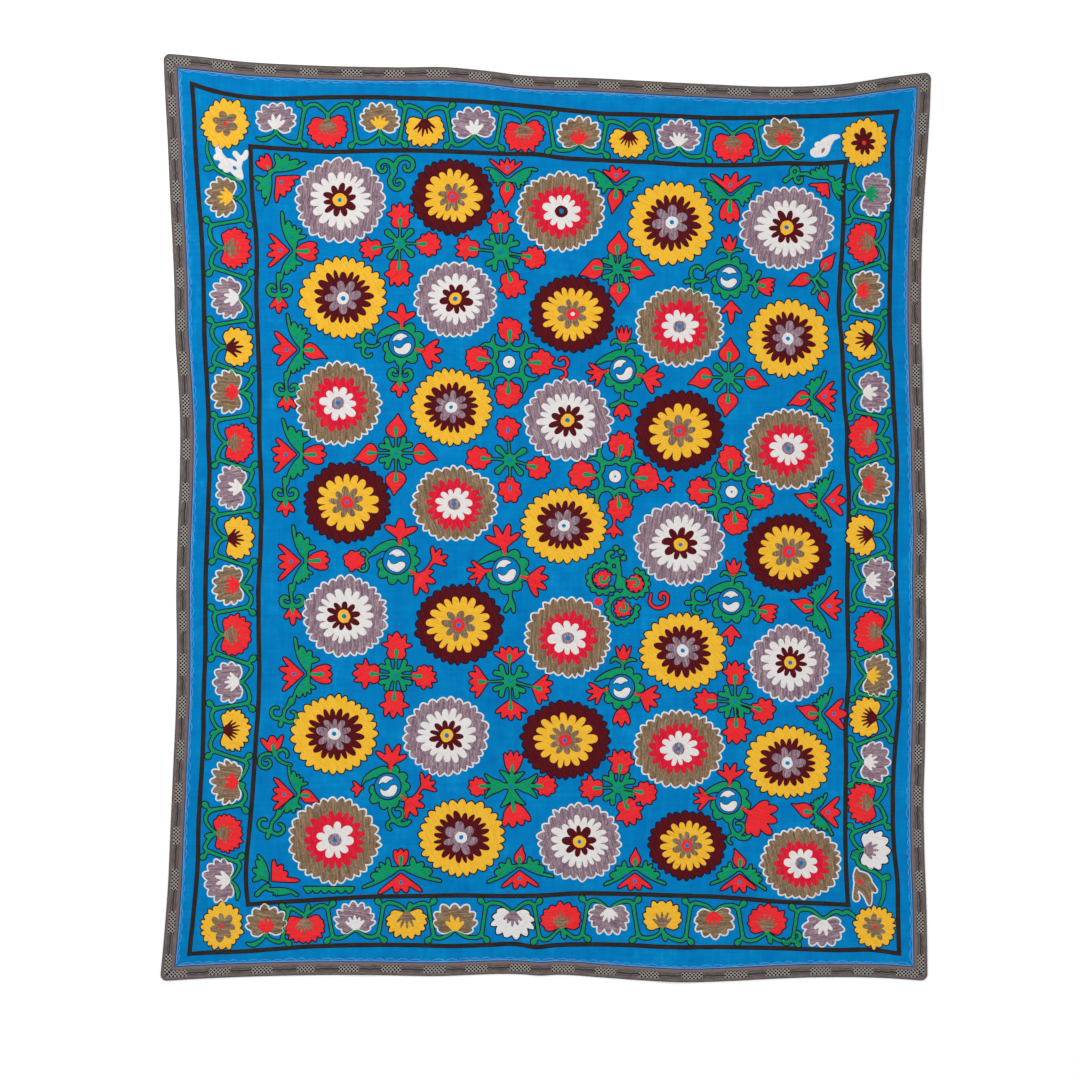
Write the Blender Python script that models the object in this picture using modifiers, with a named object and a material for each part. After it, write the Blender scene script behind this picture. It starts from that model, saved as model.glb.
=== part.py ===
"""Suzani hanging: an embroidered cotton cloth with a woven tape folded over its four edges.

It lies flat, face up, with its underside on z = 0 and its foot towards -Y. The cloth's
edges bow in and waver, as hand-stitched cloth does, and a few soft swells stand in it.
Metres, +Z up, origin under the middle of the whole piece.
"""

import math

import bmesh
import bpy
import numpy as np

MM = 0.001

# Size of the hanging, in mm: the corners of its outline, from the middle of its box
CORNERS = {
    "top_left": (-925.0, 1124.6),
    "top_right": (932.3, 1079.1),
    "bottom_right": (923.6, -1119.8),
    "bottom_left": (-933.5, -1120.2),
}
WIDTH = CORNERS["top_right"][0] - CORNERS["top_left"][0]
LENGTH = CORNERS["top_left"][1] - CORNERS["bottom_left"][1]
CORNER_RADIUS = 17.0

# How each edge leaves the straight line between its corners, in mm: (along, outward).
# Top and bottom run from the left, left and right from the bottom.
EDGE_BOWS = {
    "top": (
        (88, -6), (185, -15), (330, -20), (570, -20), (690, -17), (765, -22),
        (840, -30), (1055, -35), (1300, -42), (1515, -44), (1645, -34), (1760, -14),
    ),
    "bottom": (
        (120, -7), (220, -11), (340, -14), (485, -15), (655, -12), (880, -16),
        (920, -13), (955, -15), (1065, -9), (1160, -2), (1285, 3), (1380, 0),
        (1500, -6), (1600, -9), (1755, -7),
    ),
    "left": (
        (75, -7), (150, -13), (220, -18), (365, -24), (510, -30), (655, -36),
        (800, -38), (945, -36), (1090, -39), (1240, -44), (1360, -44), (1455, -39),
        (1550, -32), (1695, -28), (1890, -18), (2035, -11), (2155, -4),
    ),
    "right": (
        (170, -3), (320, -9), (460, -11), (535, -9), (680, -7), (825, -6),
        (970, -8), (1115, -7), (1190, -10), (1335, -14), (1480, -19), (1625, -22),
        (1770, -21), (1890, -16), (1985, -10), (2085, -4),
    ),
}

# Thicknesses in mm, and the small gap that parts the cloth from the tape
CLOTH_THICK = 1.2
TAPE_THICK = 0.8
GAP = 0.3

# The tape in mm: how far it reaches in over the face and the back, where the cloth's
# edge stops inside its fold, and how far each end stands back from the mitre line
TAPE_FACE_WIDTH = 32.0
TAPE_BACK_WIDTH = 14.0
CLOTH_INSET = 3.4
FOLD_STEPS = 3
MITRE_GAP = 0.25

# Where the lifted hem comes down to lie on the surface, from the edge, in mm
HEM_END = 64.0

# Grid lines of the cloth between its two hem zones, and the tape's lines near a corner
LINES_ACROSS = 34
LINES_ALONG = 41
CORNER_LINES = (0.0, 0.07, 0.14, 0.28)

# Soft swells in the cloth: middle x and y, half length, half width and height in mm,
# and the turn of the swell's length from +X in degrees
SWELLS = {
    "left_margin": (-838, 250, 330, 75, 3.2, 88),
    "left_foot": (-800, -560, 260, 85, 2.2, 80),
    "top_wave": (-130, 1010, 190, 80, 3.4, 68),
    "top_shoulder": (560, 930, 220, 85, 2.6, 100),
    "right_kink": (850, 350, 200, 80, 3.0, 20),
    "right_foot": (800, -640, 230, 85, 2.2, 95),
    "foot_bulge": (330, -1040, 180, 80, 3.2, 62),
    "foot_left": (-460, -1010, 210, 80, 2.4, 105),
    "field_high": (190, 520, 330, 95, 1.8, 35),
    "field_low": (-300, -330, 350, 95, 1.8, 120),
}

COLLECTION_NAME = "suzani_hanging"
# Materials: colour, roughness
MATERIALS = {
    "ground_cotton": ((0.002, 0.22, 0.57, 1.0), 0.85),
    "woven_tape": ((0.16, 0.13, 0.125, 1.0), 0.8),
}


def clear_scene():
    for obj in list(bpy.data.objects):
        bpy.data.objects.remove(obj, do_unlink=True)


def smooth_between(table, place):
    """Height of the smooth curve through the table's (place, height) rows."""
    places = np.array([row[0] for row in table], float)
    heights = np.array([row[1] for row in table], float)
    slopes = np.gradient(heights, places)
    last = len(places) - 2
    i = int(np.clip(np.searchsorted(places, place) - 1, 0, last))
    span = places[i + 1] - places[i]
    t = (place - places[i]) / span
    rise = 3 * t**2 - 2 * t**3
    start_slope = t**3 - 2 * t**2 + t
    end_slope = t**3 - t**2
    height = heights[i] * (1 - rise) + heights[i + 1] * rise
    return height + span * (start_slope * slopes[i] + end_slope * slopes[i + 1])


def edge_point(edge, share):
    """Plan point in mm on an edge, share 0 to 1 of the way along it."""
    ends = {
        "top": ("top_left", "top_right", (0, 1)),
        "bottom": ("bottom_left", "bottom_right", (0, -1)),
        "left": ("bottom_left", "top_left", (-1, 0)),
        "right": ("bottom_right", "top_right", (1, 0)),
    }
    start_name, end_name, outward = ends[edge]
    start = np.array(CORNERS[start_name])
    end = np.array(CORNERS[end_name])
    length = float(np.linalg.norm(end - start))
    table = ((0, 0),) + EDGE_BOWS[edge] + ((length, 0),)
    bow = smooth_between(table, share * length)
    return start + (end - start) * share + np.array(outward) * bow


def patch_point(u, v):
    """Plan point in mm inside the outline, from the shares u across and v up."""
    across = edge_point("bottom", u) * (1 - v) + edge_point("top", u) * v
    upward = edge_point("left", v) * (1 - u) + edge_point("right", v) * u
    low = np.array(CORNERS["bottom_left"]) * (1 - u) + np.array(CORNERS["bottom_right"]) * u
    high = np.array(CORNERS["top_left"]) * (1 - u) + np.array(CORNERS["top_right"]) * u
    return across + upward - (low * (1 - v) + high * v)


def rounded(a, b):
    """Distances from two edges, moved so that the lines about a corner turn on arcs."""
    near = min(a, b)
    far = max(a, b)
    if far >= CORNER_RADIUS:
        return a, b
    radius = CORNER_RADIUS - near
    turn = math.radians(45) * (CORNER_RADIUS - far) / radius
    moved_far = CORNER_RADIUS - radius * math.sin(turn)
    moved_near = CORNER_RADIUS - radius * math.cos(turn)
    return (moved_near, moved_far) if a <= b else (moved_far, moved_near)


def plan_point(from_left, from_bottom):
    """Plan point in mm, from the distances to the left and the bottom edge, in mm."""
    left_half = from_left <= WIDTH / 2
    low_half = from_bottom <= LENGTH / 2
    a = from_left if left_half else WIDTH - from_left
    b = from_bottom if low_half else LENGTH - from_bottom
    a, b = rounded(a, b)
    from_left = a if left_half else WIDTH - a
    from_bottom = b if low_half else LENGTH - b
    return patch_point(from_left / WIDTH, from_bottom / LENGTH)


def swell_height(x, y):
    """Rise of the cloth in mm at a plan point in mm."""
    total = 0.0
    for middle_x, middle_y, half_length, half_width, height, turn in SWELLS.values():
        angle = math.radians(turn)
        along = (x - middle_x) * math.cos(angle) + (y - middle_y) * math.sin(angle)
        across = (y - middle_y) * math.cos(angle) - (x - middle_x) * math.sin(angle)
        reach = math.hypot(along / half_length, across / half_width)
        if reach < 1:
            total += height * math.cos(reach * math.pi / 2) ** 2
    return total


def lift(from_left, from_bottom):
    """Rise in mm, the same right across the tape's width."""
    inner_left = min(max(from_left, TAPE_FACE_WIDTH), WIDTH - TAPE_FACE_WIDTH)
    inner_bottom = min(max(from_bottom, TAPE_FACE_WIDTH), LENGTH - TAPE_FACE_WIDTH)
    x, y = patch_point(inner_left / WIDTH, inner_bottom / LENGTH)
    return swell_height(x, y)


def hem_rise(from_left, from_bottom):
    """Rise of the cloth over the tape's back leaf, in mm, down to nothing at HEM_END."""
    inward = min(from_left, WIDTH - from_left, from_bottom, LENGTH - from_bottom)
    share = (HEM_END - inward) / (HEM_END - TAPE_FACE_WIDTH)
    return (TAPE_THICK + GAP) * min(max(share, 0.0), 1.0)


def grid_lines(total, count):
    """Distances in mm of the cloth's lines, the hem's own lines at both ends."""
    inner = np.linspace(HEM_END, total - HEM_END, count)
    near = [CLOTH_INSET, TAPE_FACE_WIDTH]
    return near + list(inner) + [total - d for d in reversed(near)]


def new_object(name, bm, material, collection, thickness):
    """Object from an open surface, thickened evenly about it."""
    mesh = bpy.data.meshes.new(name)
    bm.to_mesh(mesh)
    bm.free()
    mesh.shade_smooth()
    mesh.materials.append(material)
    obj = bpy.data.objects.new(name, mesh)
    collection.objects.link(obj)
    solid = obj.modifiers.new("thickness", "SOLIDIFY")
    solid.thickness = thickness * MM
    solid.offset = 0.0
    solid.use_even_offset = True
    return obj


def grid_surface(columns, rows, place):
    """Open grid whose vertex in a column and row goes to place(column, row), in mm."""
    bm = bmesh.new()
    bmesh.ops.create_grid(bm, x_segments=columns - 1, y_segments=rows - 1, size=1.0)
    for vert in bm.verts:
        column = round((vert.co.x + 1) / 2 * (columns - 1))
        row = round((vert.co.y + 1) / 2 * (rows - 1))
        vert.co = [value * MM for value in place(column, row)]
    return bm


def make_cloth(collection, material):
    lines_x = grid_lines(WIDTH, LINES_ACROSS)
    lines_y = grid_lines(LENGTH, LINES_ALONG)

    def place(column, row):
        from_left = lines_x[column]
        from_bottom = lines_y[row]
        x, y = plan_point(from_left, from_bottom)
        rise = lift(from_left, from_bottom) + hem_rise(from_left, from_bottom)
        return x, y, rise + CLOTH_THICK / 2

    surface = grid_surface(len(lines_x), len(lines_y), place)
    return new_object("ground_cloth", surface, material, collection, CLOTH_THICK)


def tape_section():
    """Middle line of the folded tape: (inward, height, sideways part of its normal)."""
    low = TAPE_THICK / 2
    high = TAPE_THICK + GAP + CLOTH_THICK + GAP + TAPE_THICK / 2
    radius = (high - low) / 2
    section = [(TAPE_FACE_WIDTH, high, 0.0)]
    for step in range(FOLD_STEPS + 1):
        angle = math.pi * step / FOLD_STEPS
        inward = low + radius - radius * math.sin(angle)
        height = low + radius + radius * math.cos(angle)
        section.append((inward, height, math.sin(angle)))
    section.append((TAPE_BACK_WIDTH, low, 0.0))
    return section


def make_tape(edge, collection, material):
    """One side's tape, from mitre to mitre."""
    level = edge in ("top", "bottom")
    total = WIDTH if level else LENGTH
    inner = list(np.linspace(HEM_END, total - HEM_END, LINES_ACROSS if level else LINES_ALONG))
    section = tape_section()
    corner_count = len(CORNER_LINES)
    columns = len(inner) + 2 * corner_count

    def along(column, inward, sideways):
        start = inward + MITRE_GAP + sideways * TAPE_THICK / 2
        mirrored = column >= columns - corner_count
        index = columns - 1 - column if mirrored else column
        if index < corner_count:
            distance = start + CORNER_LINES[index] * (HEM_END - start)
            return total - distance if mirrored else distance
        return inner[column - corner_count]

    def place(column, row):
        inward, height, sideways = section[row]
        distance = along(column, inward, sideways)
        from_left, from_bottom = {
            "top": (distance, LENGTH - inward),
            "bottom": (distance, inward),
            "left": (inward, distance),
            "right": (WIDTH - inward, distance),
        }[edge]
        x, y = plan_point(from_left, from_bottom)
        return x, y, height + lift(from_left, from_bottom)

    surface = grid_surface(columns, len(section), place)
    return new_object("tape_" + edge, surface, material, collection, TAPE_THICK)


def make_material(name):
    colour, roughness = MATERIALS[name]
    material = bpy.data.materials.new(name)
    material.use_nodes = True
    shader = material.node_tree.nodes["Principled BSDF"]
    shader.inputs["Base Color"].default_value = colour
    shader.inputs["Roughness"].default_value = roughness
    shader.inputs["Metallic"].default_value = 0.0
    return material


def main():
    clear_scene()
    collection = bpy.data.collections.new(COLLECTION_NAME)
    bpy.context.scene.collection.children.link(collection)
    cotton = make_material("ground_cotton")
    tape = make_material("woven_tape")
    make_cloth(collection, cotton)
    for edge in ("top", "right", "bottom", "left"):
        make_tape(edge, collection, tape)


main()
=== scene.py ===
"""Looks of the suzani hanging: blue cotton, chain-stitched rosettes and vines, woven tape.

Plan places are pixels of the 1080 x 1080 photograph, one pixel being PHOTO_STEP on the
cloth. Sizes of stitches, cords and cloth are in mm, and meshes are in metres.
"""

import math

import bpy
import numpy as np
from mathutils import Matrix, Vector, geometry


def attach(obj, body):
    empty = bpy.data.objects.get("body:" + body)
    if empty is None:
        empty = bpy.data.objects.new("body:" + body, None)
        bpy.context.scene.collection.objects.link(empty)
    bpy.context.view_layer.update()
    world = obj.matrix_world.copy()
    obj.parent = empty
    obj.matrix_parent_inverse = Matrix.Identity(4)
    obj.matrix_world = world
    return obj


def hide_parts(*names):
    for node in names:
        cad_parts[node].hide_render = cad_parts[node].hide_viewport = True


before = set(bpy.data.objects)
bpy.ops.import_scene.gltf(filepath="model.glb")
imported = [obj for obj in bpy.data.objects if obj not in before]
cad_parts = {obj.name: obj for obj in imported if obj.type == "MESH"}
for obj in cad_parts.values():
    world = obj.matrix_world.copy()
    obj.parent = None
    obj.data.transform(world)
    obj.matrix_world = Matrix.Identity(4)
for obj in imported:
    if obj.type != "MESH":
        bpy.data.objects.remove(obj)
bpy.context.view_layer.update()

MM = 0.001
# The cloth's mm to a pixel of the photograph, and the pixel of the frame's origin
PHOTO_STEP = 2.42
PHOTO_MIDDLE = np.array([545.75, 518.1])
RNG = np.random.default_rng(41)
DARK = "dark"
WHITE = "white"
TINY = 1e-9

# The cloth's plan in mm, as in the solids: its corners' x and y
CORNERS = {
    "top_left": (-925.0, 1124.6),
    "top_right": (932.3, 1079.1),
    "bottom_right": (923.6, -1119.8),
    "bottom_left": (-933.5, -1120.2),
}
WIDTH = CORNERS["top_right"][0] - CORNERS["top_left"][0]
LENGTH = CORNERS["top_left"][1] - CORNERS["bottom_left"][1]
CORNER_RADIUS = 17.0
# How each edge leaves the line between its corners, in mm: (along, outward)
EDGE_BOWS = {
    "top": (
        (88, -6), (185, -15), (330, -20), (570, -20), (690, -17), (765, -22),
        (840, -30), (1055, -35), (1300, -42), (1515, -44), (1645, -34), (1760, -14),
    ),
    "bottom": (
        (120, -7), (220, -11), (340, -14), (485, -15), (655, -12), (880, -16),
        (920, -13), (955, -15), (1065, -9), (1160, -2), (1285, 3), (1380, 0),
        (1500, -6), (1600, -9), (1755, -7),
    ),
    "left": (
        (75, -7), (150, -13), (220, -18), (365, -24), (510, -30), (655, -36),
        (800, -38), (945, -36), (1090, -39), (1240, -44), (1360, -44), (1455, -39),
        (1550, -32), (1695, -28), (1890, -18), (2035, -11), (2155, -4),
    ),
    "right": (
        (170, -3), (320, -9), (460, -11), (535, -9), (680, -7), (825, -6),
        (970, -8), (1115, -7), (1190, -10), (1335, -14), (1480, -19), (1625, -22),
        (1770, -21), (1890, -16), (1985, -10), (2085, -4),
    ),
}
# Each edge's first and last corner, and its outward direction
SIDE_ENDS = {
    "top": ("top_left", "top_right", (0, 1)),
    "bottom": ("bottom_left", "bottom_right", (0, -1)),
    "left": ("bottom_left", "top_left", (-1, 0)),
    "right": ("bottom_right", "top_right", (1, 0)),
}
# Soft swells in mm and degrees: middle x, middle y, half length, half width, height, turn
SWELLS = {
    "left_margin": (-838, 250, 330, 75, 3.2, 88),
    "left_foot": (-800, -560, 260, 85, 2.2, 80),
    "top_wave": (-130, 1010, 190, 80, 3.4, 68),
    "top_shoulder": (560, 930, 220, 85, 2.6, 100),
    "right_kink": (850, 350, 200, 80, 3.0, 20),
    "right_foot": (800, -640, 230, 85, 2.2, 95),
    "foot_bulge": (330, -1040, 180, 80, 3.2, 62),
    "foot_left": (-460, -1010, 210, 80, 2.4, 105),
    "field_high": (190, 520, 330, 95, 1.8, 35),
    "field_low": (-300, -330, 350, 95, 1.8, 120),
}
# Cloth and tape in mm; the hem's rise over the tape's back ends HEM_END in from the edge
CLOTH_THICK = 1.2
TAPE_THICK = 0.8
GAP = 0.3
TAPE_FACE_WIDTH = 32.0
TAPE_BACK_WIDTH = 14.0
CLOTH_INSET = 3.4
MITRE_GAP = 0.25
HEM_END = 64.0

# Puckers that the stitching draws into the cloth: how many waves, then mm
PUCKERS = 46
PUCKER_LENGTHS = (38.0, 170.0)
PUCKER_HEIGHT = 0.085
DEEPEST_PUCKER = -0.75
PUCKER_START = 2.0
PUCKER_FADE = 28.0


def smooth_between(table, places):
    """Heights of the smooth curve through the table's (place, height) rows."""
    stations = np.array([row[0] for row in table], float)
    heights = np.array([row[1] for row in table], float)
    slopes = np.gradient(heights, stations)
    i = np.clip(np.searchsorted(stations, places) - 1, 0, len(stations) - 2)
    span = stations[i + 1] - stations[i]
    t = (places - stations[i]) / span
    rise = 3 * t**2 - 2 * t**3
    start_slope = t**3 - 2 * t**2 + t
    end_slope = t**3 - t**2
    height = heights[i] * (1 - rise) + heights[i + 1] * rise
    return height + span * (start_slope * slopes[i] + end_slope * slopes[i + 1])


def edge_points(edge, shares):
    """Plan points in mm on an edge, at shares of the line between its corners."""
    start_name, end_name, outward = SIDE_ENDS[edge]
    start = np.array(CORNERS[start_name])
    end = np.array(CORNERS[end_name])
    length = float(np.linalg.norm(end - start))
    table = ((0, 0),) + EDGE_BOWS[edge] + ((length, 0),)
    bow = smooth_between(table, shares * length)
    return start + shares[..., None] * (end - start) + bow[..., None] * np.array(outward)


def patch_points(u, v):
    """Plan points in mm inside the outline, from the shares u across and v up."""
    across = edge_points("bottom", u) * (1 - v)[..., None] + edge_points("top", u) * v[..., None]
    upward = edge_points("left", v) * (1 - u)[..., None] + edge_points("right", v) * u[..., None]
    corner = {name: np.array(place) for name, place in CORNERS.items()}
    low = (1 - u)[..., None] * corner["bottom_left"] + u[..., None] * corner["bottom_right"]
    high = (1 - u)[..., None] * corner["top_left"] + u[..., None] * corner["top_right"]
    return across + upward - (low * (1 - v)[..., None] + high * v[..., None])


def plan_points(from_left, from_bottom):
    """Plan points in mm from the distances to the left and bottom edges, corners rounded."""
    a = np.minimum(from_left, WIDTH - from_left)
    b = np.minimum(from_bottom, LENGTH - from_bottom)
    near = np.minimum(a, b)
    far = np.maximum(a, b)
    radius = np.maximum(CORNER_RADIUS - near, 1e-6)
    turn = math.radians(45) * (CORNER_RADIUS - far) / radius
    turned = far < CORNER_RADIUS
    moved_far = np.where(turned, CORNER_RADIUS - radius * np.sin(turn), far)
    moved_near = np.where(turned, CORNER_RADIUS - radius * np.cos(turn), near)
    a_new = np.where(a <= b, moved_near, moved_far)
    b_new = np.where(a <= b, moved_far, moved_near)
    from_left = np.where(from_left <= WIDTH / 2, a_new, WIDTH - a_new)
    from_bottom = np.where(from_bottom <= LENGTH / 2, b_new, LENGTH - b_new)
    return patch_points(from_left / WIDTH, from_bottom / LENGTH)


def swell_height(x, y):
    """Height in mm of the soft swells at plan places in mm."""
    total = np.zeros_like(x)
    for middle_x, middle_y, half_length, half_width, height, turn in SWELLS.values():
        angle = math.radians(turn)
        along = (x - middle_x) * math.cos(angle) + (y - middle_y) * math.sin(angle)
        across = (y - middle_y) * math.cos(angle) - (x - middle_x) * math.sin(angle)
        reach = np.minimum(np.hypot(along / half_length, across / half_width), 1)
        total += height * np.cos(reach * math.pi / 2) ** 2
    return total


def pucker_waves():
    """Direction, phase and height of each small wave in the cloth."""
    draw = np.random.default_rng(7)
    low, high = np.log(PUCKER_LENGTHS)
    lengths = np.exp(draw.uniform(low, high, PUCKERS))
    angles = draw.uniform(0, math.pi, PUCKERS)
    phases = draw.uniform(0, 2 * math.pi, PUCKERS)
    return [
        (math.cos(angle) * 2 * math.pi / length, math.sin(angle) * 2 * math.pi / length, phase,
         PUCKER_HEIGHT * math.sqrt(length / PUCKER_LENGTHS[0]))
        for length, angle, phase in zip(lengths, angles, phases)
    ]


PUCKER_WAVES = pucker_waves()


def pucker_height(x, y):
    """Height in mm of the small puckers at plan places in mm."""
    total = np.zeros_like(x)
    for step_x, step_y, phase, height in PUCKER_WAVES:
        total += height * np.sin(x * step_x + y * step_y + phase)
    return np.maximum(total, DEEPEST_PUCKER)


def hem_puckers(plan, inward):
    """The puckers as they fade out towards the tape."""
    fade = np.clip((inward - TAPE_FACE_WIDTH - PUCKER_START) / PUCKER_FADE, 0, 1)
    return pucker_height(plan[:, 0], plan[:, 1]) * fade


def hem_rise(inward):
    """How far the tape's back under the hem lifts the cloth, in mm."""
    share = (HEM_END - inward) / (HEM_END - TAPE_FACE_WIDTH)
    return (TAPE_THICK + GAP) * np.clip(share, 0, 1)


def face_height(points):
    """Height in mm of the cloth's face at plan points in mm, inside the hem."""
    x = points[:, 0]
    y = points[:, 1]
    return CLOTH_THICK + swell_height(x, y) + pucker_height(x, y)


def lift(from_left, from_bottom):
    """Rise in mm at the hem, the same right across the tape's width."""
    inner_left = np.clip(from_left, TAPE_FACE_WIDTH, WIDTH - TAPE_FACE_WIDTH)
    inner_bottom = np.clip(from_bottom, TAPE_FACE_WIDTH, LENGTH - TAPE_FACE_WIDTH)
    points = patch_points(inner_left / WIDTH, inner_bottom / LENGTH)
    return swell_height(points[..., 0], points[..., 1])


def inward_of(from_left, from_bottom):
    """Distance in mm from the nearest edge."""
    near_x = np.minimum(from_left, WIDTH - from_left)
    near_y = np.minimum(from_bottom, LENGTH - from_bottom)
    return np.minimum(near_x, near_y)


def side_distances(side, along, inward):
    """Distances to the left and bottom edges of a place along a side and in from it."""
    return {
        "top": (along, LENGTH - inward),
        "bottom": (along, inward),
        "left": (inward, along),
        "right": (WIDTH - inward, along),
    }[side]


# Meshes and pieces

def new_piece(name, points, faces, uvs, material):
    """A mesh piece from points in mm, that rides on the one body."""
    mesh = bpy.data.meshes.new(name)
    mesh.from_pydata((points * MM).tolist(), [], faces)
    mesh.validate()
    layer = mesh.uv_layers.new(name="stitch")
    corners = np.empty(len(mesh.loops), np.int32)
    mesh.loops.foreach_get("vertex_index", corners)
    layer.data.foreach_set("uv", uvs[corners].astype(np.float32).ravel())
    mesh.shade_smooth()
    mesh.materials.append(material)
    obj = bpy.data.objects.new(name, mesh)
    bpy.context.scene.collection.objects.link(obj)
    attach(obj, "root")
    return obj


def grid_faces(columns, rows, closed=False, first=0):
    """Faces of a grid of points, stored row by row; closed joins the last column to the first."""
    faces = []
    for row in range(rows - 1):
        for column in range(columns if closed else columns - 1):
            right = (column + 1) % columns
            low = first + row * columns
            high = low + columns
            faces.append((low + column, low + right, high + right, high + column))
    return faces


class Threadwork:
    """All the stitching of one thread, gathered into one piece."""

    every = {}

    def __init__(self):
        self.points = []
        self.uvs = []
        self.faces = []
        self.count = 0

    @classmethod
    def of(cls, name):
        if name not in cls.every:
            cls.every[name] = cls()
        return cls.every[name]

    def add(self, plan, rise, uvs, faces):
        """Stitching at plan points, its rise over the cloth's face, both in mm."""
        self.put(np.column_stack([plan, face_height(plan) + rise]), uvs, faces)

    def put(self, points, uvs, faces):
        """Stitching at points in mm."""
        self.points.append(points)
        self.uvs.append(uvs)
        first = self.count
        self.faces.extend([tuple(first + i for i in face) for face in faces])
        self.count += len(points)


# Heights of stitching over the cloth, in mm, by the distance in from the edge of a patch
CROWN = ((0.0, -0.45), (0.8, 0.5), (1.9, 0.9), (3.4, 1.05))
# Stitching laid on other stitching starts just under its surface
OVERLAY = ((0.0, 0.92), (0.6, 1.2), (1.6, 1.34))
# Rise of each further layer, the widest face of a ring, and the least width of its rows, in mm
LEVEL = 0.3
WIDEST_FACE = 11.0
NARROWEST_ROW = 0.3
# A fill's inner points in mm: their spacing, and their distance from its edge
LATTICE_STEP = 8.0
LATTICE_EDGE = 3.2
# Degrees by which a rosette's rows of thread may lie off their usual turn
THREAD_TURN = 8.0
# A cord's section in mm: its crest, its feet sunk into what it lies on, the dips between its
# rows, how much wider it is built for that, and the least that a bend narrows its mitre
CORD_CREST = 1.3
CORD_FOOT = -0.22
CORD_DIP = 0.45
CORD_SPREAD = 1.17
SHARPEST_MITRE = 0.62


def profile(level):
    """Distances in from a patch's edge, and heights over the cloth there."""
    rows = CROWN if level == 0 else OVERLAY
    raised = LEVEL * max(level - 1, 0)
    distances, heights = np.array(rows).T
    return distances, heights + raised


def crown(distance, level):
    """Heights over the cloth at distances in from a patch's edge."""
    return np.interp(distance, *profile(level))


def row_uvs(plan, grain):
    """Thread rows: u across them and v along them, in mm, a little bowed and set off at random."""
    angle = math.radians(grain)
    u = plan[:, 0] * math.cos(angle) + plan[:, 1] * math.sin(angle)
    v = -plan[:, 0] * math.sin(angle) + plan[:, 1] * math.cos(angle)
    bow = 1.3 * np.sin(v / 19.0 + RNG.uniform(0, 6)) + 0.7 * np.sin(v / 7.0 + RNG.uniform(0, 6))
    return np.column_stack([u + bow, v]) + RNG.uniform(-400, 400, 2)


def to_plan(points):
    """Photograph pixels to plan mm."""
    points = np.asarray(points, float)
    return (points - PHOTO_MIDDLE) * (PHOTO_STEP, -PHOTO_STEP)


# Outlines as closed lines of points, in photograph pixels

def unit(vectors):
    """The vectors brought to length 1."""
    return vectors / (np.hypot(*vectors.T)[:, None] + TINY)


def left_of(vectors):
    """The vectors turned a quarter to the left, y being up."""
    return np.column_stack([-vectors[:, 1], vectors[:, 0]])


def smooth_line(points, per_span=6, closed=False):
    """Catmull-Rom curve through the points."""
    points = np.asarray(points, float)
    if closed:
        padded = np.vstack([points[-1], points, points[0], points[1]])
    else:
        padded = np.vstack([2 * points[0] - points[1], points, 2 * points[-1] - points[-2]])
    t = np.linspace(0, 1, per_span, endpoint=False)[:, None]
    spans = []
    for i in range(1, len(padded) - 2):
        a, b, c, d = padded[i - 1:i + 3]
        spans.append(0.5 * (2 * b + (c - a) * t + (2 * a - 5 * b + 4 * c - d) * t**2
                            + (3 * b - a - 3 * c + d) * t**3))
    line = np.vstack(spans)
    return line if closed else np.vstack([line, points[-1]])


def resampled(line, step, closed=True):
    """The same line with a point about every step."""
    if closed:
        line = np.vstack([line, line[0]])
    lengths = np.hypot(*np.diff(line, axis=0).T)
    travel = np.concatenate([[0], np.cumsum(lengths)])
    count = max(int(round(travel[-1] / step)), 6)
    places = np.linspace(0, travel[-1], count + 1)
    if closed:
        places = places[:-1]
    return np.column_stack([np.interp(places, travel, line[:, k]) for k in (0, 1)])


def moved(shape, at=(0.0, 0.0), turn=0.0, size=1.0):
    """The local shape turned counter-clockwise in degrees, then moved."""
    points = np.asarray(shape, float) * size
    angle = math.radians(turn)
    x = points[:, 0] * math.cos(angle) - points[:, 1] * math.sin(angle)
    y = points[:, 0] * math.sin(angle) + points[:, 1] * math.cos(angle)
    return np.column_stack([at[0] + x, at[1] + y])


def place(shape, at, turn=0.0, size=1.0):
    """Local shape, x right and y up, put at a pixel, turned counter-clockwise in degrees."""
    return moved(shape, turn=turn, size=size) * (1, -1) + np.asarray(at, float)


def stroke(path, widths):
    """Closed outline of a stroke with round ends: widths are given at even shares of its length."""
    line = resampled(smooth_line(path), 1.6, closed=False)
    shares = np.linspace(0, 1, len(line))
    half = np.interp(shares, np.linspace(0, 1, len(widths)), widths) / 2
    along = unit(np.gradient(line, axis=0))
    aside = left_of(along) * half[:, None]

    def cap(middle, axis, radius):
        side = np.array([-axis[1], axis[0]])
        turns = np.radians((45, 0, -45))
        return [middle + radius * (math.cos(t) * axis + math.sin(t) * side) for t in turns]

    end = cap(line[-1], along[-1], half[-1])
    start = cap(line[0], -along[0], half[0])
    return np.vstack([line + aside, end, (line - aside)[::-1], start])


# Points to a lobe of a ring, and to each half of a finger
LOBE_POINTS = 8
FINGER_POINTS = 5


def lobed(count, tip, depth, roundness, vary):
    """Angles in degrees and radii of a ring of lobes."""
    widths = 1 + 0.13 * RNG.standard_normal(count)
    ends = np.concatenate([[0], np.cumsum(widths)]) / widths.sum()
    tips = tip * (1 + vary * RNG.standard_normal(count))
    valleys = (1 - depth) * (np.roll(tips, 1) + tips) / 2 * (1 + 0.6 * vary * RNG.standard_normal(count))
    valleys = np.append(valleys, valleys[0])
    t = np.linspace(0, 1, LOBE_POINTS, endpoint=False)
    angles = []
    radii = []
    for i in range(count):
        peak = 0.5 + 0.08 * RNG.standard_normal()
        side = np.where(t < peak, (peak - t) / peak, (t - peak) / (1 - peak))
        valley = np.where(t < peak, valleys[i], valleys[i + 1])
        radii.append(tips[i] - (tips[i] - valley) * side**roundness)
        angles.append(ends[i] + t * (ends[i + 1] - ends[i]))
    return np.concatenate(angles) * 360 - 90, np.concatenate(radii)


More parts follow.
